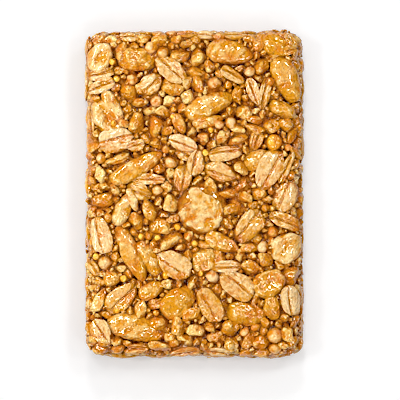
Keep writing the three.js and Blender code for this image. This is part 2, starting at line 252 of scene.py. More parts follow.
@dataclass(frozen=True)
class BarForm:
    """The outer form that every piece lies just under: a slab with rounded corners and shoulders.

    Attributes:
        width: From side to side.
        length: From end to end.
        height: From the underside to the top.
        corner: Plan radius of the corners, and how far in from a side the top starts to fall.
        top_drop: How far the shoulder falls.
        base_rise: The tighter rounding along the underside.
        lean: Most that a piece leans along its length, and half of what it may lean across.
        soft: How gently the mould pressed what stood out.
        base_soft: The same on the underside, as a share.
        dent: The most that the walls dip in between pieces.
        dent_sizes: How wide the dips are, and the finer ones on them.
        rim: How far out over a rounded edge a piece may lie, as a share of the rounding.
        passes: How often points are moved until they lie on the form.
    """

    width: float = 57.5
    length: float = 86.0
    height: float = 15.0
    corner: float = 5.2
    top_drop: float = 4.2
    base_rise: float = 1.8
    lean: float = 0.07
    soft: float = 0.25
    base_soft: float = 0.3
    dent: float = 1.1
    dent_sizes: tuple[float, float] = (9.0, 4.2)
    rim: float = 0.96
    passes: int = 5

    @property
    def inner(self) -> tuple[float, float]:
        """Half the width and half the length of the flat part of the top."""
        return self.width / 2 - self.corner, self.length / 2 - self.corner

    def on_top(self, x: float, y: float) -> Spot:
        """Return the place on the rounded top above a point.

        Args:
            x: The point's place across the bar.
            y: The point's place along it.

        Returns:
            The place.
        """
        reach_x, reach_y = self.inner
        dx = x - max(-reach_x, min(reach_x, x))
        dy = y - max(-reach_y, min(reach_y, y))
        share = min(math.hypot(dx, dy) / self.corner, self.rim)
        rise = math.sqrt(1 - share * share)
        normal = np.array([dx / self.corner**2, dy / self.corner**2, rise / self.top_drop])
        point = np.array([x, y, self.height - self.top_drop * (1 - rise)])
        return Spot(point, normal / np.linalg.norm(normal))

    def on_side(self, share: float, z: float) -> Spot:
        """Return a place on the wall.

        Args:
            share: How far round the wall it is, from 0 to 1.
            z: Its height.

        Returns:
            The place.
        """
        reach_x, reach_y = self.inner
        arc = math.pi / 2 * self.corner
        quarter = reach_x + reach_y + arc
        along = share * 4 * quarter
        quadrant = int(along // quarter)
        along -= quadrant * quarter
        if quadrant % 2:
            along = quarter - along
        turn = max(0.0, min(along - reach_y, arc)) / self.corner
        x = reach_x - max(0.0, along - reach_y - arc) + self.corner * math.cos(turn)
        y = min(along, reach_y) + self.corner * math.sin(turn)
        sign_x = 1 if quadrant in (0, 3) else -1
        sign_y = 1 if quadrant < 2 else -1
        drop = max(0.0, z - (self.height - self.top_drop)) / self.top_drop
        rise = math.sqrt(1 - drop * drop)
        out = np.array([sign_x * math.cos(turn), sign_y * math.sin(turn), 0.0])
        point = np.array([sign_x * x, sign_y * y, z]) - out * self.corner * (1 - rise)
        normal = out * rise / self.corner
        normal[2] = drop / self.top_drop
        return Spot(point, normal / np.linalg.norm(normal))

    def on_base(self, x: float, y: float) -> Spot:
        """Return the place on the flat underside at (x, y)."""
        return Spot(np.array([x, y, 0.0]), DOWN)

    def settle(
        self, kind: Kind, spot: Spot, length: float, width: float, turn: float, level: float
    ) -> Bit:
        """Lay a piece under a place on the form, leaning a little by where it lies.

        Args:
            kind: What the piece is.
            spot: The place.
            length: The piece's length.
            width: The piece's width.
            turn: Degrees from the start direction to its length.
            level: How far its crown stands out of the form.

        Returns:
            The piece in its place.
        """
        normal, point = spot.normal, spot.point
        start = np.array([1.0, 0.0, 0.0])
        if abs(normal[2]) <= STEEP:
            start = np.array([-normal[1], normal[0], 0.0])
        across = np.cross(normal, start)
        across /= np.linalg.norm(across)
        along = np.cross(across, normal)
        angle = math.radians(turn)
        along = along * math.cos(angle) + across * math.sin(angle)
        across = np.cross(normal, along)
        tip = self.lean * math.sin(1.7 * point[0] + 2.9 * point[1] + point[2])
        roll = 2 * self.lean * math.sin(2.3 * point[0] - 1.3 * point[1] + point[2])
        up = normal + along * tip + across * roll
        up /= np.linalg.norm(up)
        along = along - up * float(along @ up)
        along /= np.linalg.norm(along)
        half = kind.half(width)
        centre = point + normal * (level - half)
        return Bit(kind, length, width, half, level, spot, along, np.cross(up, along), up, centre)

    def wall_depth(self, points: Points) -> tuple[Points, Points]:
        """Measure how deep points lie under the top and the walls.

        Args:
            points: One row for each point.

        Returns:
            The depth of each point, below zero outside, and the outward normals.
        """
        over = np.zeros_like(points)
        beyond = np.maximum(np.abs(points[:, :2]) - self.inner, 0.0)
        over[:, :2] = np.sign(points[:, :2]) * beyond
        over[:, 2] = np.maximum(points[:, 2] - (self.height - self.top_drop), 0.0)
        radii = np.array([self.corner, self.corner, self.top_drop])
        share = np.linalg.norm(over / radii, axis=1)
        far = np.linalg.norm(over, axis=1)
        normals = over / radii**2
        size = np.linalg.norm(normals, axis=1, keepdims=True)
        normals = np.where(size > TINY, normals / np.maximum(size, TINY), -DOWN)
        depth = far * (1 - share) / np.maximum(share, TINY)
        wide, fine = self.dent_sizes
        wave = WALL_DENTS.at(points, wide) + 0.6 * FINE_WALL_DENTS.at(points, fine)
        dip = self.dent * np.clip(0.35 + 0.4 * wave, 0, 1) * (normals[:, :2] ** 2).sum(axis=1)
        return np.where(share > TINY, depth - dip, self.top_drop), normals

    def nearest(self, points: Points) -> tuple[Points, Points]:
        """Measure how deep points lie under the nearest outer face, rounded lower edge and all.

        Args:
            points: One row for each point.

        Returns:
            The depth of each point and the outward normals.
        """
        wall, normals = self.wall_depth(points)
        radius, low = self.base_rise, points[:, 2]
        near = (wall < radius) & (low < radius)
        side, under = np.maximum(radius - wall, 0.0), np.maximum(radius - low, 0.0)
        reach = np.maximum(np.hypot(side, under), TINY)
        edge = (normals * side[:, None] + DOWN * under[:, None]) / reach[:, None]
        normals = np.where(near[:, None], edge, normals)
        normals = np.where((~near & (low < wall))[:, None], DOWN, normals)
        return np.where(near, radius - reach, np.minimum(wall, low)), normals

    def depth(self, points: Points) -> Points:
        """Return how deep points lie under the nearest outer face."""
        return self.nearest(points)[0]

    @staticmethod
    def held(depth: Points, soft: float) -> Points:
        """Return depths held above 0 by a soft limit of some width."""
        return np.where(depth < soft, soft * np.exp((np.minimum(depth, soft) - soft) / soft), depth)

    def press(self, points: Points) -> Points:
        """Push what stands out of the form back under it, as the mould did.

        Args:
            points: One row for each point.

        Returns:
            The pressed points.
        """
        wall, normals = self.wall_depth(points)
        pressed = points - normals * (self.held(wall, self.soft) - wall)[:, None]
        pressed[:, 2] = self.held(pressed[:, 2], self.soft * self.base_soft)
        return pressed

    def shell(self, points: Points) -> tuple[Points, Points]:
        """Move points near the outer form onto it.

        Args:
            points: One row for each point.

        Returns:
            The moved points and the form's outward normals there.
        """
        moved = points
        for _ in range(self.passes):
            depth, normals = self.nearest(moved)
            moved = moved + normals * depth[:, None]
        return moved, normals

    def lattice(self, step: float) -> tuple[Points, Points]:
        """Lay a closed net of small squares over the outer form, each cut in two.

        Args:
            step: The side of a square.

        Returns:
            Points of the box round the form, for shell to move, and the triangles on them.
        """
        sizes = np.array([self.width, self.length, self.height])
        counts = np.maximum(np.round(sizes / step).astype(int), 2)
        rings = []
        for axis in range(3):
            one, two = (axis + 1) % 3, (axis + 2) % 3
            i, j = (grid.ravel() for grid in np.indices((counts[one], counts[two])))
            for end in (0, counts[axis]):
                ring = np.zeros((len(i), 4, 3), int)
                ring[:, :, axis] = end
                ring[:, :, one] = i[:, None] + [0, 1, 1, 0]
                ring[:, :, two] = j[:, None] + [0, 0, 1, 1]
                if end == 0:
                    ring = ring[:, ::-1]
                odd = (i + j) % 2 == 1
                ring[odd] = np.roll(ring[odd], 1, axis=1)
                rings.append(ring)
        cells = np.concatenate(rings).reshape(-1, 3)
        keys = cells @ [1, 1000, 1000000]
        _, first, index = np.unique(keys, return_index=True, return_inverse=True)
        points = (cells[first] / counts - [0.5, 0.5, 0.0]) * sizes
        quads = index.reshape(-1, 4)
        return points, np.concatenate([quads[:, [0, 1, 2]], quads[:, [0, 2, 3]]])


class Nearby:
    """Finds the points near a place, after sorting them into cubes once."""

    def __init__(self, points: Points, cube: float = 2.5) -> None:
        """Sort points into cubes.

        Args:
            points: One row for each point.
            cube: The side of a cube.
        """
        self.cube = cube
        keys = np.floor(points / cube).astype(int)
        order = np.lexsort(keys.T)
        changes = np.flatnonzero(np.diff(keys[order], axis=0).any(axis=1)) + 1
        self.groups = {tuple(keys[group[0]]): group for group in np.split(order, changes)}

    def around(self, place: Points, reach: float) -> Points:
        """Return the numbers of the points that may be within reach of a place.

        Args:
            place: The place.
            reach: How far from it.

        Returns:
            The points' numbers.
        """
        low = np.floor((place - reach) / self.cube).astype(int)
        high = np.floor((place + reach) / self.cube).astype(int) + 1
        spans = [range(start, stop) for start, stop in zip(low, high)]
        found = [self.groups[key] for key in itertools.product(*spans) if key in self.groups]
        return np.concatenate(found) if found else np.zeros(0, int)


# The arrangement on the top face, the lowest pieces first: kind, centre x, centre y, length, width,
# turn of the length from +X in degrees, level, and the tone where it isn't left to chance.
TOP_PIECES = (
    # The far edge.
    ("OAT", -16.8, 41.0, 5.5, 2.8, -3, -0.3), ("CRISP", -13.2, 40.9, 4.2, 2.8, 5, -0.2),
    ("CRISP", -8.8, 40.4, 4.4, 3.0, 10, -0.1), ("OAT", -1.8, 41.9, 5.6, 2.4, 2, -0.1),
    ("OAT", 2.8, 41.6, 5.0, 2.8, -3, -0.2), ("OAT", 10.3, 41.5, 5.6, 2.8, -3, -0.2),
    ("GLAZED", 17.0, 39.6, 5.4, 3.4, 70, -0.2), ("GLAZED", 21.4, 38.8, 8.4, 5.6, -22, 0.0),
    ("CRISP", 20.7, 36.6, 4.4, 3.2, 25, -0.2),
    # The far third.
    ("CUT", -24.9, 35.4, 8.2, 6.4, 62, 0.0, 0.8), ("CRISP", -18.9, 36.7, 5.4, 3.6, 75, -0.5),
    ("GLAZED", -14.6, 34.6, 10.6, 6.2, -3, -0.6, -0.2),
    ("GRAIN", -11.3, 37.9, 4.0, 3.4, 15, 0.0, 0.4),
    ("GRAIN", -8.3, 36.6, 3.6, 3.2, 40, 0.0, -0.2), ("CRISP", -3.4, 36.0, 5.2, 3.8, -5, -0.4, -0.4),
    ("CRISP", 0.9, 35.3, 5.0, 4.0, 75, -0.1), ("NUT", 9.0, 36.4, 12.2, 6.4, -8, 0.0, 0.05),
    ("OAT", -6.1, 32.1, 9.2, 5.2, -40, 0.0, 0.15), ("OAT", -11.2, 28.5, 6.6, 5.2, 40, -0.2, 0.4),
    ("GRAIN", -16.2, 29.7, 3.3, 3.2, 0, 0.0, 0.0), ("CRISP", -17.4, 26.6, 6.0, 4.6, -48, -0.1),
    ("OAT", -24.6, 30.9, 7.2, 3.4, 8, -0.3), ("OAT", -24.2, 28.0, 7.4, 3.4, 22, -0.2),
    ("CRISP", -5.9, 27.5, 5.4, 3.8, -35, -0.2), ("CRISP", -1.9, 29.0, 3.6, 3.2, 30, -0.4),
    ("GRAIN", -9.8, 24.1, 3.6, 3.2, -60, 0.0), ("CRISP", -14.3, 23.6, 4.6, 3.4, 10, -0.7),
    ("NUT", 23.6, 29.4, 13.0, 6.6, -66, 0.0, 0.0), ("OAT", 15.3, 26.4, 7.6, 3.2, -68, -0.1, 0.2),
    ("OAT", 18.2, 25.9, 8.4, 3.0, 78, -0.1, 0.25), ("GRAIN", 5.1, 28.5, 4.0, 3.8, 0, 0.0, 0.0),
    ("OAT", 9.8, 30.7, 6.8, 3.0, -32, -0.3), ("CRISP", -0.1, 31.4, 5.4, 2.6, -8, -0.4),
    ("CRISP", 0.9, 28.6, 4.4, 3.6, 75, -0.3), ("GRAIN", 14.1, 31.6, 3.4, 3.0, 40, -0.2),
    ("CRISP", 17.4, 33.0, 4.6, 3.6, 75, -0.3), ("CRISP", 10.9, 25.6, 4.4, 3.0, 68, -0.5),
    # Above the middle.
    ("CUT", -22.2, 19.4, 11.5, 7.4, -55, -0.4, 0.9), ("NUT", -21.1, 22.6, 9.6, 3.8, -60, 0.0, 0.7),
    ("OAT", -20.3, 13.9, 8.8, 6.4, 10, 0.0, 0.55), ("CRISP", -15.2, 18.3, 5.8, 4.4, 60, 0.0),
    ("CRISP", -9.8, 17.4, 5.4, 4.0, 62, 0.0), ("OAT", -15.1, 12.6, 4.6, 3.4, 15, -0.3),
    ("CRISP", -8.0, 21.1, 4.0, 3.0, -40, -0.4), ("NUT", -3.9, 18.3, 5.8, 3.0, -65, 0.0, 0.1),
    ("NUT", 3.9, 22.7, 13.6, 5.8, 22, 0.0, 0.15), ("NUT", 3.4, 18.8, 8.2, 3.0, 13, -0.4, 0.1),
    ("GRAIN", 6.3, 18.0, 3.0, 2.8, 0, 0.0, 0.2), ("CRISP", 7.0, 14.6, 4.2, 3.4, 5, 0.0),
    ("GRAIN", 9.4, 18.3, 4.0, 3.0, -62, -0.1, 0.5), ("CRISP", 11.6, 14.0, 5.4, 2.6, 22, -0.2),
    ("CRISP", 12.8, 21.2, 4.8, 4.2, 20, -0.3), ("CRISP", 16.0, 16.6, 5.8, 2.4, -8, -0.3),
    ("CRISP", 19.8, 17.8, 4.8, 4.0, -10, -0.2), ("MILLET", 20.5, 13.4, 4.6, 4.2, 0, 0.1, -0.6),
    ("CRISP", 24.2, 17.9, 4.6, 4.2, 0, -0.2, -0.3),
    ("GLAZED", 22.6, 21.8, 7.4, 4.0, -24, -0.4, -0.5),
    ("OAT", 8.0, 10.4, 8.6, 4.0, 8, -0.2, 0.0), ("OAT", 15.9, 13.7, 5.2, 3.6, 72, -0.5, -0.6),
    ("OAT", 0.3, 8.0, 6.8, 4.6, 80, 0.0, 0.15), ("OAT", 6.6, 5.8, 8.6, 5.0, -22, 0.0, -0.1),
    ("CRISP", 11.9, 6.9, 4.8, 3.0, -48, -0.1), ("CRISP", 12.8, 2.6, 4.6, 3.2, 62, -0.1),
    ("NUT", 16.2, 8.8, 7.4, 5.0, 30, -0.6, 0.1), ("OAT", 19.3, 6.2, 10.8, 6.2, 66, 0.0, 0.15),
    ("OAT", 23.8, 6.8, 8.8, 2.4, 65, -0.1, 0.2), ("OAT", -3.1, 4.0, 6.8, 4.8, 82, -0.2, -0.3),
    ("GRAIN", -6.2, 8.2, 3.8, 3.2, -25, 0.0, 0.1), ("OAT", -3.0, 13.2, 7.8, 4.2, -22, -0.4, 0.35),
    ("OAT", -2.6, 10.2, 5.0, 3.2, -20, -0.7), ("NUT", -15.2, 6.9, 15.6, 5.0, 29, 0.1, 0.1),
    ("CRISP", -19.4, 8.9, 6.8, 3.0, 18, -0.5), ("GRAIN", -24.5, 9.2, 3.2, 3.0, 0, -0.3),
    ("CRISP", -26.6, 12.6, 4.4, 3.6, 60, -0.2), ("CRISP", -24.9, 5.0, 4.4, 3.6, 70, -0.3),
    ("OAT", -27.4, 18.2, 7.0, 2.6, -82, -0.3),
    # Below the middle.
    ("OAT", -12.6, 4.0, 10.4, 3.0, -4, -0.5), ("GRAIN", -9.6, 0.8, 3.3, 3.1, 0, 0.0, 0.3),
    ("OAT", -14.4, 0.6, 7.0, 4.4, -18, -0.6, -0.4), ("NUT", -16.1, -1.4, 6.4, 2.4, -70, -0.3),
    ("CRISP", -23.7, -1.8, 5.6, 4.0, 3, -0.1), ("NUT", -18.7, -4.2, 8.8, 4.4, 66, -0.3),
    ("OAT", -24.2, -10.6, 9.8, 5.6, -74, 0.0, 0.5), ("CRISP", -11.6, -4.0, 5.6, 4.2, -35, -0.2),
    ("CRISP", -6.2, -2.5, 4.8, 3.8, 80, -0.1), ("CRISP", -15.0, -7.0, 4.8, 3.6, -55, -0.2),
    ("CRISP", -9.0, -8.3, 5.4, 4.4, 0, -0.2), ("NUT", -12.2, -16.8, 10.5, 4.8, -58, -0.6, 0.05),
    ("NUT", -16.3, -15.4, 15.8, 5.0, -64, 0.0, 0.15),
    ("CRISP", -6.4, -12.0, 6.6, 3.2, 32, -0.1, 0.4),
    ("OAT", -5.3, -18.3, 9.6, 6.4, -32, 0.0, 0.1), ("TORN", 2.0, -4.0, 12.8, 12.8, 0, 0.65, 0.9),
    ("CRISP", 4.3, 1.6, 4.4, 3.6, -45, -0.1), ("CRISP", 8.9, 0.3, 5.0, 3.4, -5, -0.4),
    ("CRISP", 10.4, -3.6, 5.0, 4.2, -10, -0.2, -0.7), ("OAT", 14.2, -8.3, 9.6, 6.0, 52, 0.0, -0.1),
    ("CRISP", 16.6, 0.1, 4.0, 3.0, 10, -0.3), ("OAT", 23.7, -0.7, 8.2, 6.0, 62, 0.0, 0.1),
    ("OAT", 23.6, -7.0, 9.4, 3.8, -22, -0.3, -0.4), ("CUT", 24.2, -13.9, 8.8, 7.4, 40, 0.3, 0.85),
    ("GRAIN", 20.2, -9.8, 3.2, 3.0, 0, -0.1), ("GRAIN", 17.6, -13.8, 3.4, 3.2, 0, 0.0, 0.6),
    ("CRISP", 14.4, -13.8, 4.2, 2.8, -10, -0.3), ("CRISP", 18.0, -17.2, 4.4, 3.6, -15, -0.2),
    ("GLAZED", 7.2, -12.4, 9.4, 4.4, -24, -0.1, -0.25),
    ("GLAZED", 3.6, -17.2, 9.5, 6.0, 15, -0.8, -0.2), ("OAT", 8.3, -18.8, 7.8, 3.2, 2, -0.3, 0.3),
    ("CRISP", 14.4, -19.2, 4.6, 3.8, -25, 0.0), ("GRAIN", -23.3, -17.8, 3.9, 3.7, 0, 0.0),
    ("OAT", -26.4, -19.2, 4.8, 2.8, -52, -0.4),
    # The near third.
    ("GRAIN", 4.6, -21.5, 3.8, 3.5, 80, 0.0, 0.7), ("OAT", 10.9, -23.6, 10.2, 6.4, -34, 0.0, -0.1),
    ("CUT", 19.4, -23.2, 8.8, 7.0, 28, 0.0, -0.1), ("CRISP", 25.8, -21.0, 5.8, 5.0, 70, -0.1, 0.0),
    ("OAT", 25.0, -27.6, 7.8, 5.4, -76, 0.0, 0.55),
    ("GLAZED", 20.2, -29.6, 6.4, 4.2, -80, 0.0, -0.8),
    ("OAT", 4.0, -28.6, 9.8, 5.8, -62, 0.0, -0.5),
    ("GLAZED", 13.3, -30.8, 10.6, 6.2, -8, -0.1, -0.8),
    ("NUT", -4.2, -28.2, 10.2, 7.4, 42, 0.0, -0.4), ("NUT", -11.2, -25.0, 7.2, 4.2, 30, 0.0, 0.05),
    ("OAT", -19.0, -26.9, 9.6, 5.8, 40, -0.1, -0.3), ("NUT", -21.4, -22.2, 4.4, 3.8, 10, 0.0, 0.2),
    ("CRISP", -24.6, -27.4, 7.0, 3.0, 68, -0.2), ("CRISP", -14.2, -30.4, 5.6, 3.2, 84, 0.0),
    ("NUT", -15.2, -35.0, 15.4, 6.8, -14, -0.35, 0.1),
    ("OAT", -24.2, -35.6, 7.4, 5.2, -58, 0.0, 0.1),
    ("CRISP", -9.4, -33.8, 5.6, 4.4, 10, 0.0, -0.4),
    ("CRISP", -4.1, -34.1, 4.6, 3.6, 85, -0.1, 0.0),
    ("CRISP", 0.7, -35.4, 4.8, 4.2, -40, -0.1, 0.5), ("CRISP", -0.8, -31.0, 4.8, 3.0, 8, -0.1),
    ("CRISP", 9.0, -34.8, 5.2, 4.6, 20, -0.3), ("GRAIN", 13.0, -35.9, 3.0, 2.6, 70, -0.3),
    ("CRISP", 13.6, -38.3, 5.2, 3.0, 52, -0.1), ("GRAIN", 20.8, -36.8, 4.7, 4.2, 70, 0.0, 0.0),
    ("CRISP", 24.2, -35.8, 4.8, 3.0, -78, -0.1, 0.1), ("CRISP", 17.2, -38.9, 4.8, 4.0, -20, -0.2),
    ("CRISP", 5.2, -37.0, 4.4, 3.4, 30, -0.8), ("CRISP", -9.0, -40.0, 5.4, 3.4, 5, 0.0),
    ("OAT", -14.6, -40.3, 5.4, 2.6, 6, -0.2), ("OAT", -2.4, -41.3, 7.8, 3.0, 8, -0.1),
    ("OAT", 6.2, -41.3, 6.4, 3.0, -6, -0.1), ("GRAIN", 20.8, -40.8, 3.6, 3.0, 0, -0.1),
)

# The small ones that lie between them.
SMALL_PIECES = (
    ("CRISP", -22.3, 40.6, 3.6, 3.0, 20, -0.1), ("GRAIN", -9.7, 42.2, 3.0, 2.2, 0, 0.0),
    ("GRAIN", -6.0, 42.3, 3.2, 2.2, 0, 0.0), ("CRISP", -4.6, 40.3, 3.4, 3.0, 40, -0.2),
    ("CRISP", 0.2, 40.2, 3.4, 2.6, -20, -0.3), ("CRISP", 6.1, 41.3, 3.8, 3.0, 10, 0.0),
    ("CRISP", 14.2, 40.6, 3.2, 3.0, 10, -0.5), ("CRISP", 19.4, 42.2, 3.2, 2.2, 0, -0.1),
    ("CRISP", 22.3, 41.8, 3.2, 2.2, -15, -0.2), ("OAT", 24.9, 40.2, 5.0, 2.4, -50, -0.2),
    ("OAT", 24.7, 37.3, 4.4, 2.6, 20, -0.1), ("CRISP", 26.7, 36.0, 3.0, 2.0, 70, -0.2),
    ("CRISP", -20.8, 27.6, 3.0, 2.4, 0, -0.3), ("CRISP", -26.2, 24.6, 3.4, 2.0, 10, -0.3),
    ("CRISP", -14.0, 27.0, 3.2, 2.2, -60, -0.4), ("CRISP", -6.8, 23.8, 3.4, 2.6, 60, -0.6),
    ("GRAIN", 19.6, 29.0, 2.6, 2.4, 0, 0.0), ("GRAIN", 8.7, 28.2, 2.4, 2.2, 0, -0.3),
    ("CRISP", 3.8, 32.8, 3.6, 2.6, -55, -0.5), ("CRISP", 6.7, 31.1, 3.0, 2.4, -60, -0.2),
    ("CRISP", -18.4, 18.2, 2.6, 2.2, 0, 0.0), ("CRISP", -7.2, 16.4, 3.0, 2.8, 0, 0.0),
    ("CRISP", -17.8, 21.7, 3.4, 2.2, 30, -0.6), ("CRISP", -12.6, 14.2, 3.0, 2.6, -30, -0.5),
    ("CRISP", 2.2, 14.5, 3.6, 3.0, 80, -0.3), ("CRISP", 11.2, 16.8, 4.0, 2.6, -45, -0.4),
    ("CRISP", 15.4, 19.2, 4.4, 2.4, -5, -0.4), ("CRISP", 25.8, 14.8, 3.6, 3.0, 30, -0.5),
    ("CRISP", 25.2, 4.7, 2.8, 2.4, 0, -0.2), ("CRISP", 27.0, 7.6, 2.6, 1.9, 60, -0.2),
    ("CRISP", 26.7, 10.6, 4.2, 2.0, -62, -0.4), ("GRAIN", 24.3, 12.0, 2.2, 2.0, 0, -0.4),
    ("GRAIN", -7.4, 11.5, 2.4, 2.2, 0, -0.2), ("GRAIN", -22.4, -6.2, 2.8, 2.6, 0, 0.0),
    ("CRISP", 8.5, -7.8, 3.6, 2.6, -50, -0.5), ("CRISP", 12.8, -0.9, 4.2, 2.6, -25, -0.2),
    ("GRAIN", 18.3, -3.6, 2.4, 2.0, 0, -0.1), ("CRISP", 15.0, -3.0, 3.0, 1.8, 25, -0.2),
    ("CRISP", -27.1, -12.2, 4.0, 2.2, 80, -0.4), ("CRISP", -23.1, -38.6, 4.0, 2.4, 5, 0.0),
    ("GRAIN", 15.7, -34.6, 2.8, 1.9, 30, -0.2), ("CRISP", 18.3, -33.4, 3.0, 2.2, -60, -0.3),
    ("CRISP", 26.7, -32.8, 4.0, 2.2, 70, -0.2), ("CRISP", 26.0, -38.2, 3.4, 2.6, 40, -0.1),
    ("CRISP", -19.8, -40.6, 4.0, 2.6, 10, -0.3), ("CRISP", -24.0, -40.9, 4.0, 2.2, -10, -0.2),
    ("CRISP", 13.0, -41.6, 3.2, 2.4, 0, -0.1), ("CRISP", 17.2, -41.8, 3.8, 2.4, 0, 0.0),
    ("MILLET", -21.3, 34.2, 2.0, 1.9, 0, 0.0), ("MILLET", -20.2, 29.8, 2.0, 1.9, 0, 0.0),
    ("MILLET", -20.9, 18.4, 1.9, 1.9, 0, 0.1), ("MILLET", -5.4, 21.8, 1.7, 1.6, 0, -0.2),
    ("MILLET", -5.6, 20.0, 1.7, 1.6, 0, -0.2), ("MILLET", 4.2, 16.6, 1.8, 1.8, 0, -0.2),
    ("MILLET", 2.8, 10.6, 2.1, 2.0, 0, 0.0), ("MILLET", -4.5, -8.5, 2.0, 1.9, 0, 0.0),
    ("MILLET", -13.8, -11.0, 1.9, 1.8, 0, 0.0), ("MILLET", -9.6, -11.4, 1.8, 1.7, 0, 0.0),
    ("MILLET", 0.0, -12.8, 2.0, 1.9, 0, -0.1), ("MILLET", 15.8, -22.7, 1.9, 1.9, 0, 0.0),
    ("MILLET", -18.4, -21.9, 2.0, 1.9, 0, 0.0), ("MILLET", -25.8, -16.2, 2.0, 1.9, 0, 0.0),
    ("MILLET", -10.0, -30.8, 1.8, 1.7, 0, -0.1), ("MILLET", -7.4, -21.0, 2.1, 2.1, 0, 0.0),
    ("MILLET", 1.6, -20.6, 1.6, 1.6, 0, -0.3), ("MILLET", -20.0, -30.2, 1.5, 1.5, 0, -0.3),
)


@dataclass(frozen=True)
class Batch:
    """Pieces that a seeded rule adds where there is room, the largest first.

    Attributes:
        kind: What they are.
        face: Where they go.
        tries: How many places are tried.
        length: The least and the most length.
        slim: Width over length, the least and the most.
        level: How far the crown stands out of the form, the least and the most.
        spacing: 1 lets footprints touch, and less lets them bite into each other.
    """

    kind: Kind
    face: Face
    tries: int
    length: tuple[float, float]
    slim: tuple[float, float]
    level: tuple[float, float] = (-0.6, 0.15)
    spacing: float = 0.86


SIDE_BATCHES = (
    Batch(Kind.NUT, Face.SIDE, 60, (7, 11), (0.42, 0.55)),
    Batch(Kind.OAT, Face.SIDE, 180, (6.5, 9.5), (0.4, 0.62)),
    Batch(Kind.CRISP, Face.SIDE, 420, (3.8, 5.6), (0.66, 0.92)),
    Batch(Kind.GRAIN, Face.SIDE, 140, (3.0, 3.8), (0.88, 0.96)),
)
FILL_BATCHES = (
    Batch(Kind.CRISP, Face.TOP, 900, (2.6, 3.8), (0.6, 0.9), (-1.0, -0.3), 0.8),
    Batch(Kind.CRISP, Face.SIDE, 900, (2.4, 3.6), (0.6, 0.9), (-0.9, -0.2), 0.8),
    Batch(Kind.MILLET, Face.SIDE, 120, (1.8, 2.1), (0.9, 1.0), (-0.5, 0.0), 0.8),
    Batch(Kind.NUT, Face.BASE, 160, (9, 14), (0.42, 0.52), (0.1, 0.4), 0.9),
    Batch(Kind.OAT, Face.BASE, 420, (7.5, 10), (0.58, 0.7), (0.0, 0.2), 0.86),
    Batch(Kind.GRAIN, Face.BASE, 80, (3.0, 4.0), (0.88, 0.96), (0.0, 0.3), 0.86),
    Batch(Kind.CRISP, Face.BASE, 900, (3.4, 5.6), (0.62, 0.9), (0.0, 0.3), 0.82),
)


